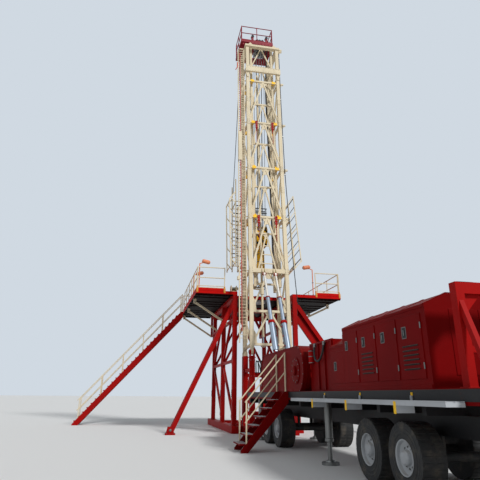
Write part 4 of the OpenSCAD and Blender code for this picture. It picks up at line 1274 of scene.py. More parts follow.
@dataclass(frozen=True)
class HoistFittings:
    """What is fixed to the travelling block and the hook, about the block's axle.

    y and z are the axle's place. cheek_bolts are those on one half of a cheek plate, as y and z, and
    hook_pin_z is over the ground.
    """

    y: float = joint("crown_spin")["pos_m"][1]
    z: float = 9.2
    half: float = 0.28
    cheek_bolts: Outline = ((0.25, -0.5), (0.34, -0.1), (0.34, 0.2), (0.2, 0.43))
    guide_y: float = 0.2
    guide_z: tuple[float, float] = (0.4, 1.46)
    hook_pin_z: float = 7.515
    band_z: tuple[float, ...] = (-0.84, -0.98, -1.38)

    @property
    def place(self) -> Matrix:
        """The frame of the block's axle."""
        return Matrix.Translation((0.0, self.y, self.z))

    def build(self) -> None:
        """Makes the fittings."""
        self._cheeks()
        self._guards()
        self._guide()
        self._hook()

    def _cheeks(self) -> None:
        """The axle's caps and the bolts on both cheek plates."""
        steel = Form()
        for out in SIDES:
            axis = (out, 0.0, 0.0)
            face = out * self.half
            steel.stub((0.1, 0.085), (0.0, 0.012, 0.02), (face, 0.0, 0.0), axis, 28)
            steel.stub((0.05, 0.04), (0.03, 0.044, 0.05), (face, 0.0, 0.0), axis)
            steel.bolt([(face, i * y, z) for y, z in self.cheek_bolts for i in SIDES], axis, 0.022, 0.018)
        steel.piece("block_pins_and_bolts", STEEL, Body.BLOCK, self.place)

    def _guards(self) -> None:
        """Striped plates over the sheaves, between the cheeks, upright and then sloping in below."""
        guards = Form()
        reach = self.half - 0.042
        for out in SIDES:
            guards.box((-reach, out * 0.392 - 0.006, -0.14), (reach, out * 0.392 + 0.006, 0.22))
            guards.bar((0.0, out * 0.385, -0.16), (0.0, out * 0.3, -0.53), 2 * self.half - 0.084, 0.012)
        guards.piece("block_guards", STRIPED, Body.BLOCK, self.place)

    def _guide(self) -> None:
        """The black frame over the block that keeps the fast line off the others."""
        guide = Form()
        low, high = self.guide_z
        for x in (-self.half + 0.02, self.half - 0.02):
            for y in (-self.guide_y, self.guide_y):
                guide.bar((x, y, low), (x, y, high), 0.03, 0.03)
        for z in (0.98, 1.2, 1.45):
            for y in (-self.guide_y, self.guide_y):
                guide.bar((-self.half - 0.02, y, z), (self.half + 0.02, y, z), 0.05, 0.04)
        guide.piece("fast_line_guide", BLACK, Body.BLOCK, self.place)

    def _hook(self) -> None:
        """The red ends of the hook's pin, and the bands round its barrel."""
        ends = Form()
        for out in SIDES:
            spot = (0.0, out * 0.145, self.hook_pin_z - self.z)
            ends.stub((0.056, 0.044), (0.0, 0.006, 0.014), spot, (0.0, out, 0.0), 24)
        ends.piece("hook_pin_ends", RED, Body.BLOCK, self.place)
        bands = Form()
        for z in self.band_z:
            bands.hoop((0.19, 0.2), (0.02, 0.014), (0.0, 0.0, z), Z_AXIS, 36)
        bands.bolt(around((0.0, 0.0, self.band_z[1]), 0.199, (-2.2, -1.2)), TO_CARRIER, 0.014)
        bands.piece("hook_bands", STEEL, Body.BLOCK, self.place)


@dataclass(frozen=True)
class MastInner:
    """Cross bars behind the hook and the racking boards' dark rungs and hinges."""

    bars_z: tuple[float, ...] = (3.7, 4.15, 4.6, 5.05)
    board_y: tuple[float, float] = (0.3, 1.25)

    def build(self) -> None:
        """Makes the bars, the rungs and the hinges."""
        bars = Form()
        low, high = UPPER.foot, UPPER.levels[0]
        for z in self.bars_z:
            reach = UPPER.half * (high - z) / (high - low) + 0.02
            bars.bar((-reach, UPPER.near, z), (reach, UPPER.near, z), 0.035, 0.045)
        bars.piece("upper_cross_bars", CREAM, UPPER.body, MAST)
        rungs = Form()
        hinges = Form()
        for y in self.board_y:
            for i in range(7):
                z = 4.47 + 0.44 * i
                rungs.bar((-1.5, y, z), (-1.24, y, z), 0.03, 0.04)
            for z in np.linspace(4.1, 7.3, 8):
                k = (z - 3.95) / 3.53
                rungs.bar((1.37 - 0.17 * k, y, z), (1.74 - 0.24 * k - 0.02, y, z + 0.43), 0.026, 0.03)
            for x, z in ((-1.23, 4.0), (1.31, 4.0), (-1.23, 6.45), (1.245, 6.45)):
                hinges.lathe([(0.035, -0.05), (0.035, 0.05)], (x, y, z), Y_AXIS, 16)
        rungs.piece("racking_board_rungs", BLACK, LOWER.body, MAST)
        hinges.piece("racking_board_hinges", STEEL, LOWER.body, MAST)


@dataclass(frozen=True)
class FloorFittings:
    """The rig floor's plates, joists, post sockets and lamp details, and what stands on it.

    wing_x is where the wings start on both sides of the middle, and well_x is half the width of the
    plates in line with the table. lamp_rise and the last value of winch and table are over the floor.
    """

    top: float = 6.1
    under: float = 5.95
    near: float = 0.9
    far: float = 8.4
    left: float = -3.3
    right: float = 3.8
    wing_x: float = 1.56
    well_x: float = 0.54
    joists_y: tuple[float, ...] = (1.25, 1.85, 3.05, 3.7, 4.35, 6.0, 6.65, 7.3)
    rail_left: float = -3.252
    rail_right: float = 3.752
    rail_near: float = 1.056
    rail_far: float = 8.352
    rail_gap: tuple[float, float] = (-1.964, 2.554)
    strut_y: tuple[float, ...] = (2.4, 5.3, 7.9)
    strut_z: float = 5.79
    lamp_rise: float = 1.395
    winch: Point = (-1.64, 1.085, 0.17)
    table: Point = (0.0, 2.6, 0.06)

    @property
    def wings(self) -> tuple[tuple[float, float], tuple[float, float]]:
        """Where the left wing and the right wing start and end across the floor."""
        return (self.left, -self.wing_x), (self.wing_x, self.right)

    def build(self) -> None:
        """Makes the fittings."""
        self._plates()
        self._joists()
        self._edges()
        self._sockets()
        self._bases()
        self._struts()
        self._lamps()
        self._winch()
        self._table()

    def _plates(self) -> None:
        """Deck plates with narrow seams; those round the table leave it free."""
        plates = Form()
        start = self.near + 0.03
        well = self.well_x
        inner = self.wing_x - 0.02
        self._column(plates, self.left + 0.03, -self.wing_x, np.linspace(start, self.far - 1.25, 6), 1.19)
        self._column(plates, self.wing_x, self.right - 0.03, np.linspace(start, self.far - 1.25, 6), 1.19)
        self._column(plates, -inner, -well - 0.02, np.linspace(1.93, self.far - 1.31, 5), 1.27)
        self._column(plates, well + 0.02, inner, np.linspace(1.93, self.far - 1.31, 5), 1.27)
        self._column(plates, -well, well, np.linspace(3.2, self.far - 1.05, 5), 1.0)
        plates.piece("floor_plates", FLOOR_RED)

    def _column(self, plates: Form, x0: float, x1: float, starts: np.ndarray, length: float) -> None:
        """One column of deck plates between two places across the floor, each starting at its own y."""
        for y in starts:
            plates.box((x0, y, self.top - 0.001), (x1, y + length, self.top + 0.006))

    def _joists(self) -> None:
        """Joists and edge ribs under the floor's wings, near-black as painted shade."""
        joists = Form()
        sink = self.under + 0.001
        deep = self.under - 0.05
        for x0, x1 in ((self.left + 0.02, -self.wing_x), (self.wing_x, self.right - 0.02)):
            for y in self.joists_y:
                joists.box((x0, y - 0.03, self.under - 0.022), (x1, y + 0.03, sink), 0.004)
            joists.box((x0, self.near + 0.01, deep), (x1, self.near + 0.09, sink), 0.004)
            joists.box((x0, self.far - 0.09, deep), (x1, self.far - 0.01, sink), 0.004)
        # The joists are near-black as painted shade under the floor.
        joists.piece("floor_joists", UNDERSIDE_SHADE)

    def _edges(self) -> None:
        """The flanges' lips along the floor's near edge and both its ends."""
        lips = Form()
        out = 0.007
        flanges = ((self.top - 0.022, self.top - 0.002), (self.under + 0.004, self.under + 0.024))
        for x0, x1 in self.wings:
            for low, high in flanges:
                lips.box((x0, self.near - out, low), (x1, self.near, high), 0.002)
        for x in (self.left, self.right):
            for low, high in flanges:
                lips.box((x, self.near, low), (x + math.copysign(out, x), self.far, high), 0.002)
        lips.piece("floor_edge_flanges", RED)

    def _sockets(self) -> None:
        """Yellow sockets of the four rail posts at the near edge, and the toe rails between them."""
        y = self.near + 0.048
        pairs = ((self.rail_left, self.rail_gap[0]), (self.rail_gap[1], self.rail_right))
        sockets = Form()
        toe = Form()
        for pair in pairs:
            for x in pair:
                sockets.lathe([(0.026, 0.0), (0.036, 0.004), (0.036, 0.2), (0.026, 0.206)],
                              (x, y, self.top), Z_AXIS, 16, False)
                sockets.box((x - 0.045, self.near - 0.016, self.top - 0.1),
                            (x + 0.045, self.near - 0.004, self.top + 0.12), 0.004)
            toe.tube([(x, y, self.top + 0.22) for x in pair], 0.018)
        sockets.piece("rail_post_sockets", SOCKET)
        toe.piece("floor_toe_rails", CREAM)

    def _bases(self) -> None:
        """Base plates and bolts of the rail posts along the floor's ends and its far edge."""
        spots = [(self.rail_left, y) for y in np.linspace(self.rail_near, 7.35, 6)]
        spots += [(self.rail_right, y) for y in np.linspace(self.rail_near, 8.244, 6)]
        spots += [(x, self.rail_far) for x in np.linspace(self.rail_right, self.rail_left, 6)]
        foot = [(0.025, 0.008), (0.046, 0.008), (0.046, 0.016), (0.03, 0.02), (0.03, 0.13), (0.025, 0.134)]
        base = Form()
        bolts = Form()
        for x, y in spots:
            base.lathe(foot, (x, y, self.top), Z_AXIS, 14, False)
            bolts.bolt([(x + i * 0.036, y, self.top + 0.016) for i in SIDES], Z_AXIS, 0.007, 0.008)
        base.piece("rail_post_bases", CREAM)
        bolts.piece("rail_post_bolts", STEEL)

    def _struts(self) -> None:
        """Pins through the lugs at the wing struts' upper ends."""
        pins = Form()
        for y in self.strut_y:
            for x in (self.left + 0.12, self.right - 0.12):
                for out in SIDES:
                    spot = (x, y + out * 0.05, self.strut_z)
                    pins.stub((0.034, 0.026), (0.0, 0.014, 0.02), spot, (0.0, out, 0.0), 16)
        pins.piece("strut_pins", STEEL)

    def _lamps(self) -> None:
        """Rings, glass and clamps on the work lamps."""
        rims = Form()
        glass = Form()
        clamps = Form()
        for x, y, reach, turn in ((-3.16, 1.05, 0.3, 12), (-3.16, 3.5, 0.3, -15), (2.45, 1.05, -0.3, -10)):
            angle = math.radians(90 + turn)
            axis = np.array((math.sin(angle), 0.0, math.cos(angle)))
            centre = (x + reach, y, self.top + self.lamp_rise)
            for at in (-0.12, 0.12):
                rims.hoop((0.094, 0.1), (0.012, 0.008), centre, axis, 28, at)
            glass.stub((0.05, 0.035), (0.196, 0.202, 0.208), centre, math.copysign(1.0, reach) * axis, 24)
            for half, low, high in ((0.035, 0.0, 0.06), (0.034, 0.62, 0.66)):
                clamps.box((x - half, y - half, self.top + low), (x + half, y + half, self.top + high), 0.006)
        rims.piece("lamp_rims", ORANGE)
        glass.piece("lamp_glass", GREY)
        clamps.piece("lamp_clamps", STEEL)

    def _winch(self) -> None:
        """The turns of rope on the winch's drum, and its motor."""
        x, y, rise = self.winch
        z = self.top + rise
        rope = Form()
        for i in range(8):
            rope.hoop((0.045, 0.056), (0.01, 0.005), (x, y, z), X_AXIS, 24, 0.06 + i * 0.021)
        rope.piece("winch_rope", STEEL)
        motor = Form().stub((0.07, 0.05), (0.0, 0.06, 0.08), (x + 0.28, y, z), X_AXIS, 24)
        motor.piece("winch_motor", CREAM)

    def _table(self) -> None:
        """The rotary table's master bushing with its four drive lugs, and the ring of bolts."""
        x, y, rise = self.table
        centre = (x, y, self.top + rise)
        raised = (x, y, self.top + rise + 0.006)
        ring = Form()
        bushing = [(0.226, 0.0), (0.31, 0.0), (0.31, 0.018), (0.3, 0.024), (0.236, 0.024), (0.226, 0.014)]
        ring.lathe(bushing, centre, Z_AXIS, 48, False)
        ring.lathe([(0.4, 0.0), (0.425, 0.0), (0.425, 0.014), (0.4, 0.014)], centre, Z_AXIS, 56, False)
        for start, end in zip(around(raised, 0.33, turns(4, 0.4)), around(raised, 0.39, turns(4, 0.4))):
            ring.bar(start, end, 0.05, 0.02)
        ring.piece("table_bushing", STEEL)
        Form().bolt(around(centre, 0.5, turns(16)), Z_AXIS, 0.018).piece("table_bolts", STEEL)


@dataclass(frozen=True)
class TowerFittings:
    """Gussets, pins and base plates of the tower under the floor, the mast's stand and the rakers.

    face is the posts' outer face. foot, head and knot are gusset outlines from a post's middle, as y and
    z. A hose is its x at both ends and the height that it sags to. raker_run points up a raker.
    """

    face: float = 1.558
    posts: tuple[float, ...] = (1.0, 4.0, 7.0)
    top: float = 5.81
    middle: float = 3.0
    foot: Outline = ((0.09, -0.02), (0.42, 0.22), (0.3, 0.5), (0.09, 0.24))
    head: Outline = ((0.09, 0.1), (0.09, -0.42), (0.34, -0.2), (0.4, 0.1))
    knot: Outline = ((0.09, -0.36), (0.42, -0.06), (0.42, 0.06), (0.09, 0.36))
    base_z: float = 0.33
    stand_x: float = LOWER.half
    stand_z: tuple[float, ...] = (0.9, 1.6, 2.3, 2.95)
    hoses: tuple[tuple[float, float, float], ...] = (
        (-0.72, -0.42, 2.3), (-0.62, -0.2, 2.05), (-0.5, 0.05, 2.2), (0.7, 0.4, 2.1), (0.6, 0.1, 2.32))
    hose_y: tuple[float, float] = (-0.14, -0.95)
    rakers: tuple[Point, ...] = ((-4.2, 0.5, 0.06), (4.85, 0.5, 0.06), (5.3, 0.5, 0.06))
    raker_run: Point = (-3.3, 0.5, 4.88)

    def build(self) -> None:
        """Makes the fittings; those of the tower and the stand are made on the right and mirrored to the
        left.
        """
        self._tower()
        self._stand()
        self._hoses()
        self._rakers()

    def _tower(self) -> None:
        """Gussets where the braces meet the posts, splice plates, base bolts and the top beam's ribs."""
        plates = Form()
        bolts = Form()
        face = self.face
        for number, y in enumerate(self.posts):
            after = number + 1 < len(self.posts)
            if after:
                plates.plate(self.foot, (face - 0.05, y, 0.42), Y_AXIS, Z_AXIS, 0.02)
                plates.plate(self.head, (face - 0.05, y, self.top - 0.15), Y_AXIS, Z_AXIS, 0.02)
            for side, braced in ((-1, number > 0), (1, after)):
                if braced:
                    knot = flipped(self.knot, side)
                    plates.plate(knot, (face - 0.05, y, self.middle), Y_AXIS, Z_AXIS, 0.02)
            plates.box((1.33, y - 0.15, 0.3), (1.57, y + 0.15, self.base_z), 0.004)
            for z in (1.6, 4.62):
                plates.box((face - 0.006, y - 0.09, z - 0.16), (face + 0.004, y + 0.09, z + 0.16))
                rows = (-0.12, -0.04, 0.04, 0.12)
                bolts.bolt([(face + 0.004, y + i * 0.06, z + k) for i in SIDES for k in rows], X_AXIS, 0.016)
            spots = [(x, y + k, self.base_z) for x in (1.37, 1.53) for k in (-0.125, 0.125)]
            bolts.bolt(spots, Z_AXIS, 0.018)
        for z in (self.top + 0.002, self.top + 0.122):
            plates.box((face - 0.03, 0.92, z), (face + 0.02, 8.08, z + 0.014))
        for y in np.arange(1.5, 8.0, 0.75):
            plates.box((face - 0.03, y - 0.007, self.top + 0.01), (face + 0.012, y + 0.007, self.top + 0.125))
        plates.mirror().piece("tower_gussets", RED)
        bolts.mirror().piece("tower_bolts", STEEL)

    def _stand(self) -> None:
        """Ribs, end plates and bolts on the stand under the mast's hinge."""
        ribs = Form()
        bolts = Form()
        x = self.stand_x
        for out in SIDES:
            y = out * 0.109
            for z in self.stand_z:
                ribs.box((x - 0.118, y - 0.006, z - 0.04), (x + 0.118, y + 0.006, z + 0.04))
        for z in (0.31, 3.06):
            ribs.box((x - 0.15, -0.14, z), (x + 0.15, 0.14, z + 0.025), 0.004)
        bolts.bolt([(x + i * 0.13, k * 0.12, 0.335) for i in SIDES for k in SIDES], Z_AXIS, 0.016)
        bolts.bolt([(x + i * 0.07, -0.115, z) for i in SIDES for z in self.stand_z], TO_CARRIER, 0.012)
        ribs.mirror().piece("stand_ribs", RED)
        bolts.mirror().piece("stand_bolts", STEEL)

    def _hoses(self) -> None:
        """Hoses that hang from the stand to the manifold on the carrier's side of it."""
        hoses = Form()
        y0, y1 = self.hose_y
        for x0, x1, sag in self.hoses:
            path = [(x0, y0, 2.42), (x0, y0 - 0.05, 2.9), (x0 * 0.8 + x1 * 0.2, y0 - 0.3, 2.75),
                    ((x0 + x1) / 2, (y0 + y1) / 2, sag), (x1, y1, 1.95), (x1, y1 - 0.03, 1.66)]
            hoses.tube(smooth(path), 0.024, 8, X_AXIS)
        hoses.piece("stand_hoses", HOSE)
        manifold = Form().box((-0.55, -1.06, 1.65), (0.55, -0.9, 1.72), 0.008)
        for x in np.linspace(-0.45, 0.45, 7):
            manifold.stub((0.03, 0.02), (0.0, 0.05, 0.08), (x, y1 - 0.03, 1.72), Z_AXIS, 12)
        manifold.piece("hose_manifold", RED)

    def _rakers(self) -> None:
        """Pin lugs and discs at the rakers' feet, and the web plate between the pair on the right, dark as
        painted shade on the pair's shaded faces.
        """
        lugs = Form()
        pins = Form()
        lug = ((-0.17, -0.02), (0.17, -0.02), (0.1, 0.24), (-0.1, 0.24))
        for x, y, z in self.rakers:
            for out in SIDES:
                lugs.plate(lug, (x, y + out * 0.115, z), X_AXIS, Z_AXIS, 0.024)
                pins.stub((0.05, 0.038), (0.0, 0.02, 0.028), (x, y + out * 0.127, z + 0.11), (0.0, out, 0.0))
            pins.bolt([(x + i * 0.16, y + k * 0.18, z) for i in SIDES for k in SIDES], Z_AXIS, 0.018)
        lugs.piece("raker_lugs", RED)
        along = tuple(unit(np.array(self.raker_run)))
        web = ((0.0, 0.15), (0.45, 0.15), (0.45, 6.6), (0.0, 5.8))
        # The web plate is in the darker red as painted shade, where the right pair's faces lie in shade.
        Form().plate(web, self.rakers[1], X_AXIS, along, 0.03).piece("raker_web_painted_shade", DARK_RED_AND_SHADE)
        pins.piece("raker_pins", STEEL)


@dataclass(frozen=True)
class HoodFittings:
    """Doors, handles, louvres, seams and ribs of the hoods and the drawworks housing.

    What ends in x is half a housing's width. The drawworks housing's two curves have their middles at
    wrap_centre and shoulder_centre, and its bearing covers at cover, as y and z. eave_lip is how far ribs
    and rims stand off the sheet.
    """

    engine_x: float = 1.22
    gear_x: float = 1.18
    wall_x: float = 1.1
    house_x: float = 1.29
    front: float = -14.2
    sill: float = 1.8
    skirt: float = 1.68
    eave_lip: float = 0.004
    engine_doors: tuple[float, ...] = (-14.05, -13.22, -12.39, -11.56)
    door_width: float = 0.77
    engine_latches: Outline = ((-11.0, 2.57), (-11.86, 2.57), (-12.7, 2.57), (-13.5, 2.57))
    gear_latch: tuple[float, float] = (-10.2, 2.18)
    wrap_centre: tuple[float, float] = (-7.55, 2.23)
    shoulder_centre: tuple[float, float] = (-3.9, 2.43)
    cover: tuple[float, float] = (-7.5, 2.2)
    filter_spot: tuple[float, float] = (-1.15, -8.45)
    hose_ends: tuple[float, float] = (-8.72, -9.4)

    def build(self) -> None:
        """Makes the fittings."""
        doors = Form()
        dark = Form()
        steel = Form()
        self._doors(doors, steel)
        self._latches(dark, steel)
        self._louvres(dark)
        for form in (doors, dark, steel):
            form.mirror()
        self._roof(doors)
        self._house(doors, steel)
        self._covers(doors, steel)
        self._wall(doors, steel)
        # The doors and ribs take the darker red, which is partly painted shade.
        doors.piece("hood_doors_and_ribs", DARK_RED_AND_SHADE)
        dark.piece("hood_louvres", BLACK)
        steel.piece("hood_handles", STEEL)
        self._hose()

    def _doors(self, doors: Form, steel: Form) -> None:
        """The right side's doors on the engine hood, with their hinges, and on the gearbox hood.

        Args:
            doors: The form of the doors and ribs.
            steel: The form of the steel parts.
        """
        x = self.engine_x
        for y in self.engine_doors:
            doors.box((x - 0.004, y, self.sill), (x + 0.012, y + self.door_width, 2.84), 0.005)
            for z in (2.0, 2.64):
                steel.lathe([(0.012, -0.05), (0.012, 0.05)], (x + 0.016, y + 0.012, z), Z_AXIS, 10)
        doors.box((self.gear_x - 0.004, -10.7, self.sill), (self.gear_x + 0.012, -9.98, 2.5), 0.005)

    def _latches(self, dark: Form, steel: Form) -> None:
        """Each door's sunk handle: a steel frame, a dark pocket in it and the grip across the pocket.

        Args:
            dark: The form of the dark parts.
            steel: The form of the steel parts.
        """
        sites = [(self.engine_x, y, z) for y, z in self.engine_latches]
        for x, y, z in (*sites, (self.gear_x, *self.gear_latch)):
            inner, outer = x + 0.008, x + 0.016
            steel.box((inner, y - 0.075, z - 0.1), (outer, y + 0.075, z - 0.088), 0.002)
            steel.box((inner, y - 0.075, z + 0.088), (outer, y + 0.075, z + 0.1), 0.002)
            for side in (-0.075, 0.063):
                steel.box((inner, y + side, z - 0.1), (outer, y + side + 0.012, z + 0.1), 0.002)
            dark.box((inner, y - 0.062, z - 0.087), (x + 0.013, y + 0.062, z + 0.087), 0.001)
            steel.box((x + 0.013, y - 0.012, z - 0.05), (x + 0.026, y + 0.012, z + 0.05), 0.004)

    def _louvres(self, dark: Form) -> None:
        """Dark slats low on two of the engine hood's doors.

        Args:
            dark: The form of the dark parts.
        """
        x = self.engine_x
        for y in (-13.665, -12.005):
            for z in np.arange(1.95, 2.4, 0.075):
                dark.bar((x + 0.012, y, z), (x + 0.026, y, z + 0.02), 0.5, 0.012)

    def _roof(self, doors: Form) -> None:
        """Ribs across the roofs, rims along the eaves and the skirts, and panels on the front end.

        Args:
            doors: The form of the doors and ribs.
        """
        engine = np.linspace(self.front + 0.02, -10.81, 6)
        self._ribs(doors, self.engine_x, (2.97, 0.19, 0.42), engine)
        self._ribs(doors, self.gear_x, (2.65, 0.16, 0.28), np.array([-10.76, -9.92]))
        for x in (-0.55, 0.0, 0.55):
            doors.box((x - 0.24, self.front - 0.012, 1.85), (x + 0.24, self.front + 0.002, 2.9), 0.005)

    def _ribs(self, doors: Form, half: float, shape: Point, stations: np.ndarray) -> None:
        """One hood's ribs and rims.

        Args:
            doors: The form that takes them.
            half: Half the hood's width.
            shape: The eaves' height, how far the roof rises over them and how wide its slopes are.
            stations: The ribs' places along the hood.
        """
        eave, rise, slope = shape
        x = half + self.eave_lip
        ridge = eave + rise + self.eave_lip
        for y in stations:
            path = [(-x, y, eave - 0.06), (-x, y, eave), (slope - half, y, ridge),
                    (half - slope, y, ridge), (x, y, eave), (x, y, eave - 0.06)]
            doors.sweep(path, rectangle(0.012, 0.05), Y_AXIS)
        for side in SIDES:
            for z, high in ((eave - 0.03, 0.04), (self.skirt, 0.06)):
                doors.bar((side * x, stations[0], z), (side * x, stations[-1], z), 0.016, high)

    def _house(self, doors: Form, steel: Form) -> None:
        """The flange round the drum guard's ends, its bolts, and ribs on the guard's wrap.

        Args:
            doors: The form of the doors and ribs.
            steel: The form of the steel parts.
        """
        turn = np.linspace(1.5 * math.pi, 0.5 * math.pi, 15)
        near = around((0.0, *self.wrap_centre), 0.63, turn, True)
        far = around((0.0, *self.shoulder_centre), 0.43, np.linspace(0.5 * math.pi, 0.0, 8), True)
        outline = np.vstack([near[2:], far, [(0.0, -3.47, self.skirt)]])
        for side in SIDES:
            x = side * (self.house_x + 0.006)
            doors.sweep(outline + (x, 0.0, 0.0), rectangle(0.03, 0.024), X_AXIS)
            steel.bolt(near[2::2] + (x + side * 0.012, 0.0, 0.0), (side, 0.0, 0.0), 0.012)
        for x in (-1.2, -0.6, 0.0, 0.6, 1.2):
            doors.sweep(around((x, *self.wrap_centre), 0.652, turn, True), rectangle(0.012, 0.03), X_AXIS)

    def _covers(self, doors: Form, steel: Form) -> None:
        """The bearing covers and bolted panels on the housing's sides, and the strips across its roof.

        Args:
            doors: The form of the doors and ribs.
            steel: The form of the steel parts.
        """
        for side in SIDES:
            x = side * self.house_x
            axis = (side, 0.0, 0.0)
            doors.stub((0.36, 0.34), (0.0, 0.02, 0.028), (x, *self.cover), axis, 36)
            doors.stub((0.13, 0.1), (0.02, 0.07, 0.09), (x, *self.cover), axis, 28)
            steel.bolt(around((x + side * 0.028, *self.cover), 0.31, turns(12), True), axis, 0.014)
            face = x + side * 0.014
            for y in (-5.3, -4.5):
                doors.box((x, y, self.sill), (face, y + 0.72, 2.6), 0.005)
                spots = [(face, y + a, z) for a in (0.05, 0.36, 0.67) for z in (1.85, 2.2, 2.55)]
                steel.bolt(spots, axis, 0.01)
        for y in (-7.0, -6.2, -5.4, -4.6):
            doors.box((-self.house_x, y - 0.02, 2.879), (self.house_x, y + 0.02, 2.892), 0.004)

    def _wall(self, doors: Form, steel: Form) -> None:
        """Upright ribs on the wall between the hoods, its top rail, and the oil filter's bands.

        Args:
            doors: The form of the doors and ribs.
            steel: The form of the steel parts.
        """
        for side in SIDES:
            x = side * self.wall_x
            for y in (-8.9, -9.35, -9.84):
                doors.box((x, y - 0.02, self.skirt), (x + side * 0.035, y + 0.02, 2.82), 0.005)
            doors.box((x - 0.02, -9.88, 2.8), (x + 0.02, -8.22, 2.862), 0.005)
        for z in (2.36, 2.52, 2.66):
            steel.hoop((0.074, 0.08), (0.012, 0.008), (*self.filter_spot, z), Z_AXIS)

    def _hose(self) -> None:
        """The hose that hangs in a loop on the wall, its end fittings and the filter's coloured shell."""
        start, end = self.hose_ends
        path = [(-1.15, start, 2.78), (-1.17, -8.74, 2.6), (-1.19, -8.86, 2.42), (-1.19, -9.05, 2.37),
                (-1.19, -9.24, 2.43), (-1.17, -9.37, 2.6), (-1.15, end, 2.8)]
        Form().tube(smooth(path), 0.026, 10, X_AXIS).piece("wall_hose", HOSE)
        ends = Form()
        for y in self.hose_ends:
            ends.stub((0.034, 0.026), (0.0, 0.07, 0.08), (-1.15, y, 2.74), Z_AXIS, 14)
            ends.box((-1.18, y - 0.03, 2.79), (-1.09, y + 0.03, 2.83), 0.004)
        ends.piece("wall_hose_ends", STEEL)
        shell = Form().stub((0.077, 0.06), (0.0, 0.3, 0.34), (*self.filter_spot, 2.345), Z_AXIS, 28)
        for z in (2.0, 2.2):
            shell.box((-1.12, -8.3, z), (-1.1, -8.24, z + 0.12), 0.004)
        shell.piece("oil_filter_shell", RED)


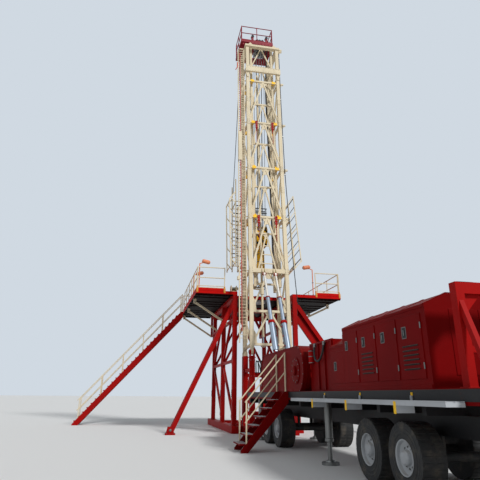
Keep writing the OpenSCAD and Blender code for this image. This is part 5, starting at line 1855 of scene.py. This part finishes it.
@dataclass(frozen=True)
class CarrierFittings:
    """The deck's edge strip, the walkway's grating, stair treads, jacks, power pack and mast rest."""

    deck: float = 1.65
    half: float = 1.25
    deck_ends: tuple[float, float] = (-15.5, -0.9)
    stair_gap: tuple[float, float] = (-6.56, -5.54)
    strip_z: tuple[float, float] = (1.47, 1.638)
    walkway: tuple[float, float] = (-15.0, -7.85)
    walkway_x: float = -1.28
    brackets_y: tuple[float, ...] = (-9.61, -11.61, -13.61)
    jack_x: float = 1.05
    jacks_y: tuple[float, float] = (-2.3, -9.2)
    rest_y: float = -14.75

    def build(self) -> None:
        """Makes the fittings."""
        self._strip()
        self._walkway()
        self._treads()
        self._jacks()
        self._pack()
        self._rest()

    def _strip(self) -> None:
        """The black strip along the deck's edges, open at the stair."""
        low, high = self.strip_z
        start, end = self.deck_ends
        gap, after = self.stair_gap
        strip = Form()
        for side, y0, y1 in ((-1, start, gap), (-1, after, end), (1, start, end)):
            strip.box((side * (self.half - 0.001), y0, low), (side * (self.half + 0.006), y1, high), 0.002)
        strip.piece("deck_edge_strip", BLACK)

    def _walkway(self) -> None:
        """The side walkway's grating and its yellow brackets."""
        edge = self.walkway_x
        start, end = self.walkway
        grating = Form()
        cross_bar = Form().box((edge - 0.295, -0.004, 1.458), (edge - 0.005, 0.004, 1.472), 0.001)
        grating.repeat(cross_bar, [(0.0, y, 0.0) for y in np.arange(start + 0.03, end - 0.02, 0.06)])
        for x in (edge - 0.298, edge - 0.15, edge - 0.012):
            grating.box((x, start, 1.455), (x + 0.01, end, 1.478), 0.001)
        grating.piece("walkway_grating", GREY)
        brackets = Form()
        for y in self.brackets_y:
            brackets.box((-self.half - 0.012, y, 1.44), (-self.half, y + 0.06, 1.6))
            brackets.box((edge - 0.306, y - 0.01, 1.27), (edge - 0.298, y + 0.07, 1.46))
        brackets.piece("walkway_brackets", YELLOW)

    def _treads(self) -> None:
        """Grating bars on both stairs' treads."""
        bars = Form()
        self._flight(bars, (-self.half, self.deck), (0.205, 7), (-6.5, -5.6), np.linspace(-0.235, 0.005, 7))
        self._flight(bars, (-3.3, 6.1), (0.196, 28), (7.51, 8.29), np.linspace(-0.195, 0.012, 6))
        bars.piece("stair_tread_bars", GREY)

    def _flight(self, bars: Form, top: tuple[float, float], going: tuple[float, int],
                width: tuple[float, float], places: np.ndarray) -> None:
        """One stair's bars.

        Args:
            bars: The form that takes them.
            top: Where the stair starts, as x and z.
            going: How far each tread lies from the last, and how many rises the stair has.
            width: The treads' ends along y.
            places: Where the bars lie on a tread.
        """
        step, rises = going
        for i in range(1, rises):
            x, z = top[0] - step * i, top[1] - top[1] / rises * i
            for k in places:
                bars.box((x + k, width[0], z - 0.001), (x + k + 0.012, width[1], z + 0.009), 0.002)

    def _jacks(self) -> None:
        """Collars of the levelling jacks, and the rings and bolts on their pads."""
        x = self.jack_x
        rings = Form()
        pad = [(0.056, 0.0), (0.12, 0.0), (0.1, 0.04), (0.056, 0.05)]
        for y in self.jacks_y:
            rings.hoop((0.09, 0.105), (0.04, 0.03), (x, y, 0.5), Z_AXIS, 28, 0.04)
            rings.lathe(pad, (x, y, 0.06), Z_AXIS, 28, False)
            rings.bolt(around((x, y, 0.06), 0.17, (0.8, 2.4, 3.9, 5.5)), Z_AXIS, 0.016)
        rings.mirror().piece("jack_collars", STEEL)

    def _pack(self) -> None:
        """Louvres on the power pack, and the caps, gauge and straps of its tank."""
        slats = Form()
        for z in np.arange(1.85, 2.3, 0.07):
            slats.bar((0.9, -2.9, z), (0.914, -2.9, z + 0.02), 0.7, 0.012)
        slats.piece("pack_louvres", BLACK)
        caps = Form()
        for spot in ((-1.02, -3.1, 2.1), (-0.5, -2.7, 2.45)):
            caps.stub((0.06, 0.04), (0.0, 0.03, 0.05), spot, Z_AXIS)
        caps.stub((0.05, 0.044), (0.0, 0.03, 0.034), (-1.15, -2.9, 1.9), (-1.0, 0.0, 0.0))
        for y in (-3.2, -2.62):
            caps.box((-1.158, y - 0.02, 1.66), (-1.15, y + 0.02, 2.09), 0.002)
        caps.piece("pack_caps", STEEL)

    def _rest(self) -> None:
        """Rubber pads, gussets and foot plates of the mast's rest."""
        y = self.rest_y
        pads = Form()
        for x in (-LOWER.half, LOWER.half):
            pads.box((x - 0.14, y - 0.08, 3.2), (x + 0.14, y + 0.08, 3.2085), 0.002)
        pads.piece("rest_pads", HOSE)
        plates = Form()
        gusset = ((0.0, 0.0), (-0.32, 0.0), (0.0, -0.34))
        for side in SIDES:
            x = side * 0.97
            plates.plate(flipped(gusset, side), (side * 0.9, y, 3.03), X_AXIS, Z_AXIS, 0.02)
            plates.box((x - 0.11, y - 0.11, self.deck - 0.001), (x + 0.11, y + 0.11, self.deck + 0.02), 0.004)
        plates.piece("rest_gussets", RED)


@dataclass(frozen=True)
class WheelFittings:
    """Treads, rims, hubs and nuts of the wheels.

    face is a tyre's outer face. lip and hub are profiles, as the radius and the height over that face.
    nut is one wheel nut's place, with the axle on the x axis.
    """

    axles: tuple[float, ...] = (-3.6, -5.0, -11.6, -13.0)
    radius: float = 0.56
    face: float = 1.179
    lugs: int = 34
    nuts: int = 10
    nut: Point = (1.09, 0.0, 0.168)
    lip: Outline = ((0.277, 0.0), (0.292, 0.006), (0.288, 0.016), (0.27, 0.006),
                    (0.262, -0.05), (0.19, -0.09), (0.19, -0.104), (0.277, -0.06))
    hub: Outline = ((0.2, -0.11), (0.2, -0.09), (0.13, -0.06), (0.12, 0.0), (0.09, 0.03), (0.03, 0.036))

    def build(self) -> None:
        """Makes one wheel's set on the right, repeats it along the axles and mirrors it."""
        sites = [(0.0, y, self.radius) for y in self.axles]
        middle = (self.face, 0.0, 0.0)
        Form().repeat(self._tread(middle), sites).mirror().piece("tyre_treads", TYRE)
        rim = Form().lathe(self.lip, middle, X_AXIS, 48, False)
        rim.lathe(self.hub, middle, X_AXIS, 36)
        Form().repeat(rim, sites).mirror().piece("wheel_rims", GREY)
        nut = Form().bolt([self.nut], X_AXIS, 0.017, 0.03)
        Form().repeat(nut.turned(self.nuts), sites).mirror().piece("wheel_nuts", STEEL)

    def _tread(self, middle: Point) -> Form:
        """A tyre's two rows of tread lugs, its shoulder blocks and the rings on its outer wall.

        Args:
            middle: The middle of the tyre's outer face.

        Returns:
            The tread as a form.
        """
        r = self.radius
        lug = Form().box((0.75, -0.028, r - 0.001), (0.93, 0.028, r + 0.011), 0.004)
        lug.box((0.985, -0.028, r - 0.001), (1.165, 0.028, r + 0.011), 0.004)
        lug.box((1.176, -0.02, r - 0.07), (1.184, 0.02, r - 0.002))
        tread = lug.turned(self.lugs)
        for inner, high in ((r - 0.13, 0.006), (r - 0.2, 0.008)):
            ring = [(inner, 0.0), (inner + 0.04, 0.0), (inner + 0.03, high), (inner + 0.01, high)]
            tread.lathe(ring, middle, X_AXIS, 56, False)
        return tread


@dataclass(frozen=True)
class Lamp:
    """A sun lamp: its strength, the width of its disc, its tilt from overhead and its turn about Z."""

    name: str
    strength: float
    width: float
    tilt: float
    turn: float

    def build(self) -> None:
        """Makes the lamp."""
        data = bpy.data.lights.new(self.name, "SUN")
        data.energy = self.strength
        data.angle = math.radians(self.width)
        lamp = bpy.data.objects.new(self.name, data)
        lamp.matrix_world = (Matrix.Rotation(math.radians(self.turn), 4, "Z")
                             @ Matrix.Rotation(math.radians(self.tilt), 4, "X"))
        bpy.context.scene.collection.objects.link(lamp)


@dataclass(frozen=True)
class Studio:
    """Floor, lights, backdrop and the camera at the photograph's viewing angle.

    The camera is solved from the photograph, in metres, degrees and the photograph's pixels.
    """

    eye: Point = (-5.75, -21.43, 1.54)
    heading: float = 11.32
    pitch: float = 20.44
    roll: float = 0.39
    focal_px: float = 487.0
    frame_px: float = 480.0
    centre_px: tuple[float, float] = (239.5, 213.5)
    floor_size: float = 900.0
    floor_z: float = -0.002
    key: Lamp = Lamp("key", 2.6, 10.0, 52.0, 28.0)
    fill: Lamp = Lamp("fill", 0.4, 60.0, 60.0, -60.0)
    world_light: float = 0.34

    def build(self) -> None:
        """Sets up the camera, the lights, the world and the floor."""
        bpy.context.scene.view_settings.view_transform = "Standard"
        self._camera()
        self.key.build()
        self.fill.build()
        self._world()
        self._floor()

    def _camera(self) -> None:
        """Places the camera by its heading, pitch and roll."""
        data = bpy.data.cameras.new("camera")
        data.sensor_width = 36.0
        data.lens = self.focal_px / self.frame_px * data.sensor_width
        data.shift_x = (self.frame_px / 2 - self.centre_px[0]) / self.frame_px
        data.shift_y = (self.centre_px[1] - self.frame_px / 2) / self.frame_px
        data.clip_end = 2000.0
        camera = bpy.data.objects.new("camera", data)
        turn = (Matrix.Rotation(math.radians(-self.heading), 4, "Z")
                @ Matrix.Rotation(math.radians(90 + self.pitch), 4, "X")
                @ Matrix.Rotation(math.radians(self.roll), 4, "Z"))
        camera.matrix_world = Matrix.Translation(self.eye) @ turn
        bpy.context.scene.collection.objects.link(camera)
        bpy.context.scene.camera = camera

    def _world(self) -> None:
        """An even pale world that the camera, gloss and glass see as the backdrop."""
        world = bpy.data.worlds.new("studio")
        bpy.context.scene.world = world
        world.use_nodes = True
        nodes = Nodes(world.node_tree)
        kinds = ("Is Camera Ray", "Is Glossy Ray", "Is Transmission Ray")
        camera, glossy, through = (nodes.node("ShaderNodeLightPath", {}, {}, kind) for kind in kinds)
        sky = {"Color": srgb(226, 232, 240), "Strength": self.world_light}
        light = nodes.node("ShaderNodeBackground", {}, sky)
        seen = nodes.node("ShaderNodeBackground", {}, {"Color": srgb(208, 217, 226)})
        backdrop = (camera + glossy + through).clamp()
        mix = nodes.node("ShaderNodeMixShader", {}, {0: backdrop, 1: light, 2: seen})
        output = world.node_tree.nodes.new("ShaderNodeOutputWorld")
        nodes.feed(output.inputs["Surface"], mix)

    def _floor(self) -> None:
        """A plain pale floor just under the rig."""
        half = self.floor_size / 2
        corners = [(x * half, y * half, self.floor_z) for x, y in ((-1, -1), (1, -1), (1, 1), (-1, 1))]
        mesh = bpy.data.meshes.new("studio_floor")
        mesh.from_pydata(corners, [], [(0, 1, 2, 3)])
        floor = bpy.data.objects.new("studio_floor", mesh)
        graph = Graph("studio_floor")
        mesh.materials.append(graph.finish(srgb(222, 222, 220), 0.9))
        bpy.context.scene.collection.objects.link(floor)


def main() -> None:
    """Builds the studio and the rig's looks."""
    logging.basicConfig(level=logging.INFO, format="%(message)s")
    Studio().build()
    dress_nodes()
    assemblies = (LatticeJoints(LOWER), LatticeJoints(UPPER), MastFittings(), UpperFittings(), RamFittings(),
                  HoistFittings(), MastInner(), FloorFittings(), TowerFittings(), HoodFittings(),
                  CarrierFittings(), WheelFittings())
    for assembly in assemblies:
        assembly.build()


if __name__ == "__main__":
    main()
